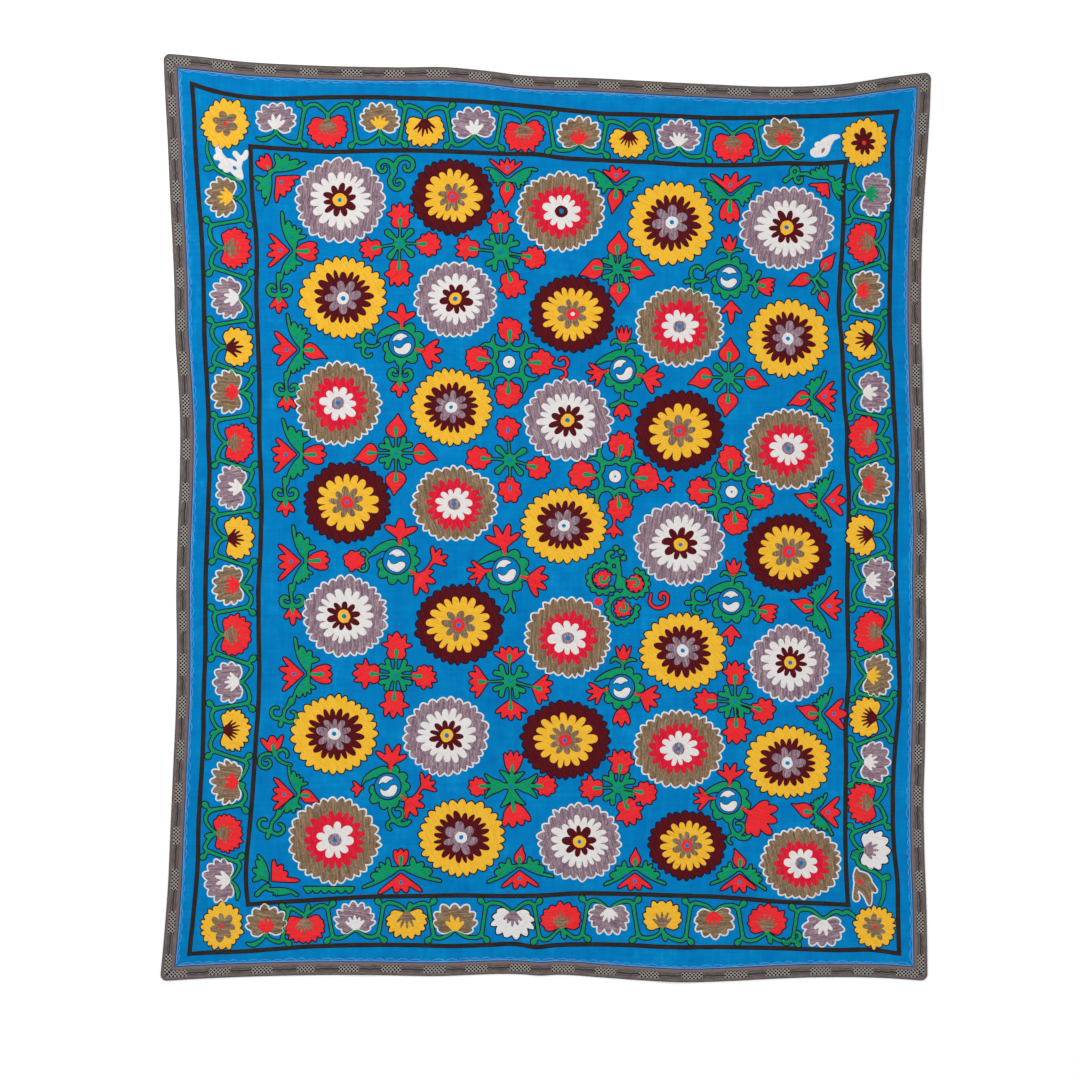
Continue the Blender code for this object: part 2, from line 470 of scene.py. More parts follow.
def polar(turns, reaches, origin=(0.0, 0.0)):
    """Points at turns in degrees and reaches about an origin."""
    angles = np.radians(turns)
    return np.column_stack([origin[0] + reaches * np.cos(angles), origin[1] + reaches * np.sin(angles)])


def finger_run(points, fullness):
    """Rounded fingers: the points alternate from valley to tip to valley."""
    points = np.asarray(points, float)
    t = np.linspace(0, 1, FINGER_POINTS, endpoint=False)[:, None]
    line = []
    for low, tip, after in zip(points[:-2:2], points[1::2], points[2::2]):
        axis = (tip - (low + after) / 2) * 0.55 * fullness
        side = (after - low) * 0.3 * fullness
        for a, b, c, d in ((low, low + axis, tip - side, tip), (tip, tip + side, after + axis, after)):
            line.append(a * (1 - t)**3 + 3 * b * t * (1 - t)**2 + 3 * c * t**2 * (1 - t) + d * t**3)
    line.append(points[-1:])
    return np.vstack(line)


def woven_order(tips, valleys, first, last):
    """First point, then tips and valleys in turn, then the last point."""
    points = [first]
    for k, tip in enumerate(tips):
        points.append(tip)
        if k < len(valleys):
            points.append(valleys[k])
    points.append(last)
    return np.array(points)


def spray(reaches, spread, valley):
    """Fingers fanned about +y, from the left to the right, with these reaches."""
    count = len(reaches)
    turns = 90 + np.linspace(spread / 2, -spread / 2, 2 * count + 1)
    lengths = np.full(2 * count + 1, float(valley))
    lengths[1::2] = reaches
    return finger_run(polar(turns, lengths), 0.95)


# Shapes of the small motifs, standing on (0, 0) and pointing up, in pixels

def fan(reaches, spread, valley, fullness=0.8, edge=6.0):
    """A fan of fingers from a sharp foot."""
    turns = 90 + np.linspace(spread / 2, -spread / 2, len(reaches))
    reaches = np.array(reaches, float) * RNG.uniform(0.94, 1.06, len(reaches))
    tips = polar(turns, reaches)
    valleys = polar((turns[:-1] + turns[1:]) / 2, np.full(len(reaches) - 1, float(valley)))
    first, last = polar((turns[0] + edge, turns[-1] - edge), reaches[[0, -1]] * 0.72)
    return np.vstack([finger_run(woven_order(tips, valleys, first, last), fullness), [(0.0, 0.0)]])


def tulip(length, width, tips=3, flare=0.5, outer=0.86, valley=0.62, fullness=0.6):
    """A cup with pointed petals."""
    shares = np.linspace(-1, 1, tips)
    lengths = length * (1 - (1 - outer) * np.abs(shares)**1.5) * RNG.uniform(0.96, 1.04, tips)
    points = np.column_stack([shares * flare * width, lengths])
    middles = (shares[:-1] + shares[1:]) / 2
    valleys = np.column_stack([middles * flare * width * 0.85, np.full(tips - 1, length * valley)])
    side = np.array([0.46 * width, 0.50 * length])
    run = finger_run(woven_order(points, valleys, side * (-1, 1), side), fullness)
    shares = ((0.34, 0.24), (0.12, 0.03), (-0.12, 0.03), (-0.34, 0.24))
    foot = np.vstack([side, np.array(shares) * (width, length), side * (-1, 1)])
    return np.vstack([run, smooth_line(foot, 4)[1:-1]])


def lily(length, width):
    """A cup whose side petals flare out below its three top ones."""
    shares = ((-0.30, 0.40), (-0.55, 0.56), (-0.33, 0.64), (-0.31, 0.94), (-0.14, 0.78), (0.0, 1.0),
              (0.14, 0.78), (0.31, 0.94), (0.33, 0.64), (0.55, 0.56), (0.30, 0.40))
    points = np.array(shares) * (width, length) + RNG.uniform(-0.8, 0.8, (len(shares), 2))
    foot = np.array(((0.36, 0.22), (0.24, 0.03), (-0.24, 0.03), (-0.36, 0.22))) * (width, length)
    return np.vstack([finger_run(points, 0.6), foot])


def head(length, width, lobes=7, depth=0.26, gap=70):
    """A round flower head with lobes all about it but at its foot."""
    turns = 90 + np.linspace(180 - gap / 2, gap / 2 - 180, 2 * lobes + 1)
    reaches = 0.5 * RNG.uniform(0.9, 1.08, 2 * lobes + 1)
    reaches[0::2] *= 1 - depth
    points = polar(turns, reaches) * (width, length) + (0, length / 2)
    return np.vstack([finger_run(points, 0.8), [(0.14 * width, 0), (-0.14 * width, 0)]])


def hand(length, spread, fingers=4, wrist=2.8, palm=0.55, fullness=0.75, outer=0.95):
    """Fingers on a narrow wrist, the outer ones shorter."""
    root = (0.0, 0.22 * length)
    turns = 90 + np.linspace(spread / 2, -spread / 2, fingers)
    shares = np.linspace(-1, 1, fingers)
    reaches = 0.78 * length * (1 - (1 - outer) * shares**2) * RNG.uniform(0.93, 1.06, fingers)
    tips = polar(turns, reaches, root)
    valleys = polar((turns[:-1] + turns[1:]) / 2, np.full(fingers - 1, palm * length), root)
    first, last = polar((turns[0] + 13, turns[-1] - 13), reaches[[0, -1]] * 0.56, root)
    run = finger_run(woven_order(tips, valleys, first, last), fullness)
    neck = wrist / 2 + 0.5
    return np.vstack([run, [(neck, 0.2 * length), (wrist / 2, 0), (-wrist / 2, 0), (-neck, 0.2 * length)]])


# Half widths of a drop, as shares of its widest, at shares of its length
DROP_HALVES = (
    (0, 0), (0.03, 0.36), (0.10, 0.68), (0.20, 0.90), (0.32, 1.0), (0.45, 0.94),
    (0.57, 0.74), (0.69, 0.48), (0.80, 0.28), (0.90, 0.13), (1.0, 0),
)


def drop(length, width, bend=0.0):
    """A drop, round at its foot, with its slender tip bent to one side."""
    shares, halves = np.array(DROP_HALVES, float).T
    axis = bend * shares**2
    left = np.column_stack([axis - halves * width / 2, length * shares])
    right = np.column_stack([axis + halves * width / 2, length * shares])
    return smooth_line(np.vstack([left, right[-2:0:-1]]), 2, closed=True)


def wing(tip, bend_at=0.45, bend=0.22, fingers=3, lean=0.0, side=1, reach=1.0):
    """A leaf whose back bends on its way to the tip, with fingers on its left for side 1.

    Returns its outline, and the place and turn of the eye in its palm.
    """
    length = np.hypot(*tip)
    middle = np.array([bend_at, -bend]) * length
    end = np.array([length, 0.0])

    def beside(share, off):
        """The point at a share of the back, moved off to the left."""
        along = 2 * (1 - 2 * share) * middle + 2 * share * end
        along = along / np.hypot(*along)
        return 2 * share * (1 - share) * middle + share**2 * end + off * np.array([-along[1], along[0]])

    palm = (0.34 * length, 0.0)
    shares = np.linspace(0, 1, fingers)
    turns = 17 + lean + 88 * shares**1.15
    reaches = reach * length * (0.385 - 0.05 * np.sin(np.pi * shares)) * RNG.uniform(0.94, 1.07, fingers)
    tips = polar(turns, reaches, palm)
    valleys = polar(turns[:-1] + 0.6 * np.diff(turns), np.full(fingers - 1, 0.215 * reach * length), palm)
    last = polar([128 + lean], 0.20 * reach * length, palm)[0]
    run = finger_run(woven_order(tips, valleys, beside(0.68, 0.085 * length), last), 0.95)
    back = [beside(share, 0.0) for share in np.linspace(0, 1, 12)]
    end_cap = [beside(1.0, 1.6), beside(0.965, 3.0), beside(0.88, 3.5)]
    outline = np.vstack([back, end_cap, run, [(0.09 * length, 0.085 * length), (0.4, 1.6)]]) * (1, side)
    turn = math.degrees(math.atan2(tip[1], tip[0]))
    return moved(outline, turn=turn), (moved([palm], turn=turn)[0], turn + 8 * side)


def curl(start, centre, sweep, end_radius, widths=(3.4, 3.6, 3.4, 2.6)):
    """A stroke that winds about a centre."""
    start = np.array(start, float)
    centre = np.array(centre, float)
    offset = start - centre
    shares = np.linspace(0, 1, 12)
    reaches = np.hypot(*offset) + (end_radius - np.hypot(*offset)) * shares**0.8
    turns = math.degrees(math.atan2(offset[1], offset[0])) + sweep * shares
    return stroke(polar(turns, reaches, centre), widths)


def oval(length, width):
    """An oval about (0, 0), its length along x."""
    turns = np.arange(0, 360, 24.0)
    return polar(turns, np.ones(len(turns))) * (length / 2, width / 2)


def both_sides(shape):
    """The shape, and its mirror image across the y axis."""
    return shape, np.asarray(shape, float) * (-1, 1)


# Pixels that figures keep clear of the rosettes
CLEARANCE = 0.2


def clear_of_rosettes(points):
    """True if no point lies in a rosette or too near to one."""
    for row in ROSETTES:
        for x, y, width, height in row:
            shares = (points - (x, y)) / (width / 2 + CLEARANCE, height / 2 + CLEARANCE)
            if (shares**2).sum(axis=1).min() < 1:
                return False
    return True


# Pixels by which a hand-sewn outline strays, and the sizes and swings in degrees tried to fit a shape
HAND_WAVER = 0.14
FIT_SIZES = (1.0, 0.94, 0.88, 0.82)
FIT_STEP = 4.0


class Motif:
    """Shapes gathered in a local frame, then sewn thread by thread."""

    def __init__(self, at, turn=0.0, size=1.0, cord_width=4.1):
        self.frame = (at, turn, size)
        self.cord_width = cord_width
        self.shapes = {}

    def add(self, thread, shape, at=(0.0, 0.0), turn=0.0, level=0, outline=DARK):
        """Adds a shape; one on level 0 has a cord round it, and one on level 1 lies on others."""
        points = moved(shape, at, turn)
        if level == 0:
            points = points + RNG.uniform(-HAND_WAVER, HAND_WAVER, points.shape)
        key = (level, thread, outline if level == 0 else None)
        self.shapes.setdefault(key, []).append(place(points, *self.frame))

    def fit(self, thread, shape, foot, turn, swing=24.0):
        """Adds the shape swung about (0, 0), and made smaller, until it clears the rosettes.

        Returns the swing in degrees and the size that it was given.
        """
        for size in FIT_SIZES:
            small = np.asarray(shape, float) * size
            for angle in sorted(np.arange(-swing, swing + 1, FIT_STEP), key=abs):
                arm = moved([foot], turn=angle)[0]
                points = moved(small, arm, turn + angle)
                if clear_of_rosettes(place(points, *self.frame)):
                    self.add(thread, small, arm, turn + angle)
                    return angle, size
        self.add(thread, small, foot, turn)
        return 0.0, FIT_SIZES[-1]

    def arm(self, shape, foot, turn, swing=24.0):
        """A red figure on a foot, joined to what it grows from with no dark line between."""
        angle, _ = self.fit("red", shape, foot, turn, swing=swing)
        foot = moved([foot], turn=angle)[0]
        self.add("red", stroke([(0, -2.0), (0, 4.0)], (2.0, 3.2)), foot, turn + angle, level=1)

    def stem(self, path, widths, at=(0.0, 0.0), turn=0.0, level=0):
        """A green stroke."""
        self.add("green", stroke(path, widths), at, turn, level)

    def eye(self, at, turn=0.0, length=5.0, width=2.6):
        """A small blue oval where the ground shows through."""
        self.add("blue", oval(length, width), at, turn, level=1)

    def sew(self):
        """Sews the shapes, thread by thread and the lowest level first."""
        for (level, thread, outline), shapes in sorted(self.shapes.items(), key=lambda item: item[0][:2]):
            stitch(thread, shapes, outline=outline, level=level, grain=RNG.uniform(40, 140),
                   cord_width=self.cord_width, soft=1.2 if level == 0 else 0.9)


# Fills and cords

def directions_of(angles):
    """Unit vectors at angles in degrees, y being up."""
    turns = np.radians(angles)
    return np.column_stack([np.cos(turns), np.sin(turns)])


def ring_fill(thread, at, angles, rim, hole, level, grain):
    """A ring of stitching about a pixel: rim and hole are radii in pixels at each angle."""
    directions = directions_of(angles)
    middle = to_plan([at])[0]
    rim = rim * PHOTO_STEP
    hole = hole * PHOTO_STEP
    insets, heights = profile(level)
    least = hole + NARROWEST_ROW * np.arange(len(insets), 0, -1)[:, None]
    rows = list(np.maximum(rim - insets[:, None], least))
    inner = rows[-1]
    more = max(int(math.ceil((inner - hole).mean() / WIDEST_FACE)), 1)
    rows += [inner + (hole - inner) * share for share in np.linspace(0, 1, more + 1)[1:]]
    plan = np.vstack([middle + directions * radius[:, None] for radius in rows])
    rise = np.repeat(np.append(heights, [heights[-1]] * more), len(rim))
    faces = grid_faces(len(rim), len(rows), closed=True)
    Threadwork.of(thread).add(plan, rise, row_uvs(plan, grain), faces)


def cord(thread, line, width, height=CORD_CREST, rows=1):
    """Rows of chain stitch along a closed line in pixels, their width and height in mm."""
    width = width * CORD_SPREAD
    plan = to_plan(line)
    step_in = unit(plan - np.roll(plan, 1, axis=0))
    step_out = unit(np.roll(plan, -1, axis=0) - plan)
    along = unit(step_in + step_out)
    bend = np.clip((step_in * along).sum(axis=1), SHARPEST_MITRE, 1)
    normal = left_of(along) / bend[:, None]
    offsets = np.linspace(0, width, 2 * rows + 1)
    heights = np.full(len(offsets), CORD_DIP)
    heights[1::2] = height
    heights[[0, -1]] = CORD_FOOT
    count = len(plan)
    points = np.vstack([plan + normal * (offset - width / 2) for offset in offsets])
    travel = np.concatenate([[0], np.cumsum(np.hypot(*np.diff(plan, axis=0).T))]) + RNG.uniform(0, 300)
    uvs = np.column_stack([np.repeat(offsets, count), np.tile(travel, len(offsets))])
    faces = grid_faces(count, len(offsets), closed=True)
    Threadwork.of(thread).add(points, np.repeat(heights, count), uvs, faces)


def against(points, loop):
    """Columns x, y of the points, and rows x1, y1, x2, y2 of the closed loop's lines."""
    after = np.roll(loop, -1, axis=0)
    return points[:, :1], points[:, 1:], loop[:, 0], loop[:, 1], after[:, 0], after[:, 1]


def inside(points, loops):
    """True for points inside an odd number of the closed loops."""
    result = np.zeros(len(points), bool)
    for loop in loops:
        x, y, x1, y1, x2, y2 = against(points, loop)
        spans = (y1 > y) != (y2 > y)
        crossing = x1 + (y - y1) * (x2 - x1) / np.where(y2 == y1, TINY, y2 - y1)
        result ^= (spans & (x < crossing)).sum(axis=1) % 2 == 1
    return result


# How many points are measured at a time, which keeps the arrays small
BATCH = 4000


def distance_to(points, loops):
    """Distance from each point to the nearest line of the closed loops."""
    best = np.full(len(points), np.inf)
    for loop in loops:
        step = np.roll(loop, -1, axis=0) - loop
        size = (step**2).sum(axis=1) + 1e-12
        for first in range(0, len(points), BATCH):
            some = slice(first, first + BATCH)
            offset = points[some, None] - loop
            share = np.clip((offset * step).sum(axis=2) / size, 0, 1)
            gap = np.linalg.norm(offset - share[..., None] * step, axis=2).min(axis=1)
            best[some] = np.minimum(best[some], gap)
    return best


def wound(points, loop):
    """True for the points that the closed loop runs round, also where it crosses itself."""
    near = ((points > loop.min(axis=0)) & (points < loop.max(axis=0))).all(axis=1)
    result = np.zeros(len(points), bool)
    x, y, x1, y1, x2, y2 = against(points[near], loop)
    side = (x2 - x1) * (y - y1) - (x - x1) * (y2 - y1)
    up = (y1 <= y) & (y2 > y) & (side > 0)
    down = (y1 > y) & (y2 <= y) & (side < 0)
    result[near] = up.sum(axis=1) != down.sum(axis=1)
    return result


def united(shapes):
    """Outline loops of the shapes taken together."""
    points = []
    edges = []
    for shape in shapes:
        first, count = len(points), len(shape)
        edges += [(first + i, first + (i + 1) % count) for i in range(count)]
        points.extend(Vector(p) for p in shape)
    found = geometry.delaunay_2d_cdt(points, edges, [], 0, 1e-6)
    coords = np.array([tuple(p) for p in found[0]])
    triangles = np.array(found[2], int)
    middles = coords[triangles].mean(axis=1)
    covered = np.any([wound(middles, shape) for shape in shapes], axis=0)
    following = {}
    directed = {(f[i], f[(i + 1) % 3]) for f in triangles[covered].tolist() for i in range(3)}
    for a, b in directed:
        if (b, a) not in directed:
            following.setdefault(a, []).append(b)
    loops = []
    while following:
        start = min(following)
        walk = [start]
        while True:
            here = walk[-1]
            choices = following[here]
            after = choices.pop(0)
            if not choices:
                del following[here]
            if after == start:
                break
            walk.append(after)
        loops.append(coords[walk])
    return loops


def softened(loop, step):
    """A loop with even points, its sharpest corners taken off as thread does."""
    loop = resampled(loop, step)
    return 0.5 * loop + 0.25 * (np.roll(loop, 1, axis=0) + np.roll(loop, -1, axis=0))


def stitch(thread, shapes, outline=None, level=0, grain=90.0, cord_width=3.5, soft=1.2):
    """Fills shapes in pixels as one patch, with a cord round it."""
    loops = [softened(loop, soft) for loop in united(shapes) if len(loop) > 4]
    loops = [loop for loop in loops if len(loop) > 7]
    if not loops:
        return
    edges = [to_plan(loop) for loop in loops]
    rings = []
    lines = []
    first = 0
    insets = profile(level)[0]
    for edge in edges:
        normal = left_of(unit(np.roll(edge, -1, axis=0) - np.roll(edge, 1, axis=0)))
        rings += [edge + normal * inset * sign for inset in insets[1:3] for sign in (1, -1)]
        count = len(edge)
        lines += [(first + i, first + (i + 1) % count) for i in range(count)]
        first += count
    low = np.min([edge.min(axis=0) for edge in edges], axis=0)
    high = np.max([edge.max(axis=0) for edge in edges], axis=0)
    columns = np.arange(low[0], high[0], LATTICE_STEP)
    rows = np.arange(low[1], high[1], LATTICE_STEP)
    lattice = np.stack(np.meshgrid(columns, rows), axis=-1).reshape(-1, 2)
    lattice = lattice[inside(lattice, edges)]
    lattice = lattice[distance_to(lattice, edges) > LATTICE_EDGE]
    ring_points = np.vstack(rings)
    ring_points = ring_points[inside(ring_points, edges)]
    ring_points = ring_points[distance_to(ring_points, edges) > insets[1] * 0.9]
    points = np.vstack([*edges, ring_points, lattice])
    found = geometry.delaunay_2d_cdt([Vector(p) for p in points], lines, [], 0, 1e-5)
    plan = np.array([tuple(p) for p in found[0]])
    triangles = np.array(found[2], int)
    kept = triangles[inside(plan[triangles].mean(axis=1), edges)]
    used, kept = np.unique(kept, return_inverse=True)
    plan = plan[used]
    rise = crown(distance_to(plan, edges), level)
    faces = [tuple(face) for face in kept.reshape(-1, 3)]
    Threadwork.of(thread).add(plan, rise, row_uvs(plan, grain), faces)
    if outline:
        for loop in loops:
            cord(outline, loop, cord_width)


# Rosettes

# thread, reach as a share of the rosette, petals, depth of the gaps, roundness, rows' turn
RINGS = {
    "A": (("mauve", 1.0, 27, 0.105, 1.75, 0), (WHITE, 0.675, 19, 0.29, 3.0, 60),
          ("maroon", 0.40, 10, 0.43, 2.1, 20), ("yellow", 0.158, 0, 0, 0, 0)),
    "B": (("maroon", 1.0, 28, 0.095, 1.6, 30), ("yellow", 0.69, 18, 0.29, 3.0, 70),
          ("taupe", 0.39, 9, 0.46, 2.1, 0), ("red", 0.150, 0, 0, 0, 0)),
    "C": (("taupe", 1.0, 29, 0.10, 1.6, 4), ("crimson", 0.675, 19, 0.23, 2.0, 3),
          (WHITE, 0.42, 10, 0.38, 2.7, 50), ("mauve", 0.15, 0, 0, 0, 0)),
    "D": (("yellow", 1.0, 27, 0.115, 2.0, 40), ("maroon", 0.66, 19, 0.27, 2.1, 10),
          ("mauve", 0.41, 8, 0.48, 2.3, 0), (WHITE, 0.145, 0, 0, 0, 0)),
}
ROSETTE_OUTLINE = {"A": WHITE, "B": DARK, "C": WHITE, "D": DARK}
# Rows of the field from the top: centre x, centre y, width, height of each rosette
ROSETTES = (
    ((340.4, 200.6, 91.6, 86), (452.4, 196.6, 84, 77), (560.8, 211.6, 90, 80),
     (671.2, 222.9, 89, 86), (786.9, 228.4, 94, 84)),
    ((343.4, 297.6, 89, 83), (455.5, 299.5, 82, 77), (572, 314.4, 87, 78),
     (679.5, 327, 89, 80), (787.6, 338.4, 83, 80)),
    ((338.5, 403.5, 86, 85), (451.6, 407.5, 84, 78), (567.6, 420.3, 89, 83),
     (679.2, 431.2, 90, 82), (788.4, 448.7, 89, 81)),
    ((346.8, 502.6, 88, 83), (454.8, 504, 87, 77), (564.2, 526, 87, 77),
     (679.8, 543.7, 90, 84), (787.8, 552.7, 88, 80)),
    ((345.3, 616.5, 86, 81), (459.4, 624, 90, 82), (567.9, 637.2, 87, 82),
     (683, 651.5, 88, 80), (789.2, 662.9, 80, 78)),
    ((334.3, 734.4, 89, 80), (446.5, 736, 87, 79), (565.4, 739.7, 92, 80),
     (678.5, 748.9, 91, 79), (787.8, 762.4, 87, 74)),
    ((334.4, 840.4, 92, 87), (461.6, 837.4, 89, 78), (579.7, 842.3, 85, 78),
     (687, 845, 80, 70), (800.9, 863.5, 82, 73)),
)
# Rosettes with their own eye: (row, column): disc thread, dot thread
ROSETTE_EYES = {(0, 2): ("maroon", "blue"), (1, 2): ("red", WHITE)}


# Radius in pixels of the hole in a ring that looks full, and thickness in mm of a rosette's outline
NO_HOLE = 0.02
OUTLINE_INSET = 1.25
# Widths in mm of the outlines of white and of other rosettes
ROSETTE_CORDS = (4.9, 4.2)


def disc(thread, at, radius, level):
    """A small, slightly uneven round of stitching."""
    angles = np.arange(0, 360, 15.0)
    rim = radius * (1 + 0.05 * np.sin(np.radians(angles) * 2 + RNG.uniform(0, 6))
                    + 0.03 * RNG.standard_normal(len(angles)))
    ring_fill(thread, at, angles, rim, np.full(len(angles), NO_HOLE), level, 0)


def slimmed(angles, width, height):
    """Radii of an oval of that width and height at angles in degrees."""
    return 1 / np.hypot(*(directions_of(angles) * 2 / (width, height)).T)


def rim_cord(thread, at, angles, rim, width):
    """A cord about a pixel, at radii in pixels."""
    cord(thread, np.array(at) + directions_of(angles) * (1, -1) * rim[:, None], width)


def rosette(kind, at, width, height, eye):
    """Nested rings of petals, each a little off the last one's middle."""
    outline = ROSETTE_OUTLINE[kind]
    reach = (width + height) / 4
    rings = RINGS[kind]
    centre = np.array(at)
    for level, (thread, share, petals, depth, roundness, grain) in enumerate(rings[:3]):
        count = petals + int(RNG.integers(-1, 2))
        angles, radii = lobed(count, 1.0, depth, roundness, vary=0.018 + 0.018 * level)
        angles = angles + RNG.uniform(0, 360)
        slim = slimmed(angles, width, height)
        rim = radii * slim * (share if level else 1 - OUTLINE_INSET / PHOTO_STEP / reach)
        inner_share = rings[level + 1][1]
        inner_depth = rings[level + 1][3]
        hole = slim * inner_share * max(1 - inner_depth - 0.12, 0.3)
        turn = grain + THREAD_TURN * RNG.standard_normal()
        ring_fill(thread, centre, angles, rim, hole, level, turn)
        if level == 0:
            rim_cord(outline, centre, angles, rim, ROSETTE_CORDS[outline != WHITE])
        centre = centre + RNG.uniform(-0.5, 0.5, 2)
    disc_thread, dot_thread = eye
    disc(disc_thread, centre, reach * rings[3][1], 3)
    disc(dot_thread, centre + RNG.uniform(-0.3, 0.3, 2), RNG.uniform(2.0, 2.5), 4)


def make_rosettes():
    """Seven rows of five; the kinds step on along the diagonals."""
    for row, places in enumerate(ROSETTES):
        for column, (x, y, width, height) in enumerate(places):
            kind = "ABCD"[(column - row) % 4]
            eye = ROSETTE_EYES.get((row, column), (RINGS[kind][3][0], "blue"))
            rosette(kind, (x, y), width, height, eye)


# The two dark frame lines and the border between them, in pixels: (place along, place across)
OUTER_LINE = {
    "top": ((192, 84), (210, 90), (235, 95.5), (265, 98.5), (330, 97.3), (400, 97.8), (450, 100),
            (510, 104.5), (570, 110.5), (600, 113.5), (640, 114.6), (720, 118), (750, 118),
            (800, 116.5), (850, 114.8), (897, 111.5)),
    "bottom": ((189.5, 954), (210, 952.5), (240, 951.5), (270, 949.5), (300, 947), (360, 944.8),
               (420, 945.2), (450, 946), (490, 944.6), (515, 943.8), (538, 947), (553, 945.3),
               (600, 944.3), (630, 945), (660, 946.6), (720, 947), (780, 948), (840, 950),
               (870, 949.6), (899, 953.5)),
    "left": ((84, 192), (110, 194), (140, 195), (170, 197), (200, 199), (230, 201.3), (260, 203),
             (300, 204), (350, 205.2), (380, 207), (410, 208.7), (440, 208.6), (470, 209.6),
             (500, 208.6), (530, 207.5), (560, 206.3), (600, 205.6), (650, 205.6), (690, 204),
             (740, 203.4), (770, 202), (800, 200), (830, 198.6), (860, 198), (890, 196),
             (920, 193), (954, 189.5)),
    "right": ((111.5, 897), (130, 893.6), (190, 892.8), (220, 891.4), (265, 890.2), (320, 889.5),
              (345, 890), (370, 892), (400, 893), (430, 895), (460, 896.8), (500, 896.2),
              (550, 895.2), (600, 896.3), (640, 897.6), (670, 899), (700, 899.4), (730, 896.6),
              (760, 894), (805, 892.5), (850, 894), (880, 897.2), (910, 897.7), (953.5, 899)),
}
INNER_LINE = {
    "top": ((250.4, 146.5), (275, 148.3), (300, 150), (330, 151.8), (375, 150.8), (420, 150.6),
            (450, 151.5), (500, 153.8), (540, 154.8), (565, 158.3), (600, 160.3), (650, 162.4),
            (690, 164.8), (750, 165), (785, 163.5), (815, 163.8), (846.4, 161.8)),
    "bottom": ((248, 904.3), (270, 902.5), (300, 900.8), (360, 897), (390, 896.3), (420, 896),
               (450, 895.3), (510, 896), (540, 895.5), (570, 893.6), (630, 894), (660, 895),
               (720, 897), (750, 899.3), (780, 901.8), (810, 903), (848, 904.8)),
    "left": ((146.5, 250.4), (200, 252.5), (230, 255.6), (260, 256.8), (290, 256.3), (320, 257),
             (350, 258.2), (380, 259.3), (440, 259.3), (470, 260.5), (500, 261.6), (530, 260.8),
             (560, 260), (590, 258.3), (620, 258.5), (680, 259), (710, 258), (740, 255.7),
             (770, 254), (800, 252), (830, 249.2), (860, 246.5), (885, 246), (904.3, 248)),
    "right": ((161.8, 846.4), (175, 844), (220, 843.5), (250, 842), (280, 840), (310, 838.8),
              (340, 841.5), (370, 843), (400, 844), (430, 847), (460, 846.6), (490, 848.6),
              (520, 848.5), (550, 848), (580, 847.2), (640, 848), (670, 848.8), (700, 847),
              (730, 845.6), (760, 846), (800, 845.5), (850, 845.5), (880, 846.5), (904.8, 848)),
}
# Pixels between a frame line's points; each dark line in mm, and its rows of stitches
FRAME_STEP = 2.5
BAND_WIDTH = 10.4
BAND_CREST = 0.85
BAND_ROWS = 3


def frame_line(lines):
    """The four sides of a frame line as one closed line of pixels."""
    def along(side):
        table = lines[side]
        count = int((table[-1][0] - table[0][0]) / FRAME_STEP)
        places = np.linspace(table[0][0], table[-1][0], count)
        return places, smooth_between(table, places)

    x, y = along("top")
    top = np.column_stack([x, y])
    y, x = along("right")
    right = np.column_stack([x, y])
    x, y = along("bottom")
    bottom = np.column_stack([x, y])[::-1]
    y, x = along("left")
    left = np.column_stack([x, y])[::-1]
    line = np.vstack([top[:-1], right[:-1], bottom[:-1], left[:-1]])
    waver = np.cumsum(RNG.standard_normal((len(line), 2)), axis=0)
    kernel = np.hanning(25) / np.hanning(25).sum()
    waver = np.column_stack([np.convolve(waver[:, k], kernel, "same") for k in (0, 1)])
    waver -= np.column_stack([np.linspace(waver[0, k], waver[-1, k], len(line)) for k in (0, 1)])
    return line + 0.18 * waver / (np.abs(waver).max() + TINY)


def make_frame_lines():
    for lines in (OUTER_LINE, INNER_LINE):
        cord(DARK + "_bands", frame_line(lines), BAND_WIDTH, BAND_CREST, BAND_ROWS)


def band_point(side, s, t):
    """Pixel in the border: s along it, and t from -1 on the outer line to 1 on the inner."""
    outer = smooth_between(OUTER_LINE[side], np.array([s]))[0]
    inner = smooth_between(INNER_LINE[side], np.array([s]))[0]
    across = (outer + inner) / 2 + t * (inner - outer) / 2
    return (s, across) if side in ("top", "bottom") else (across, s)


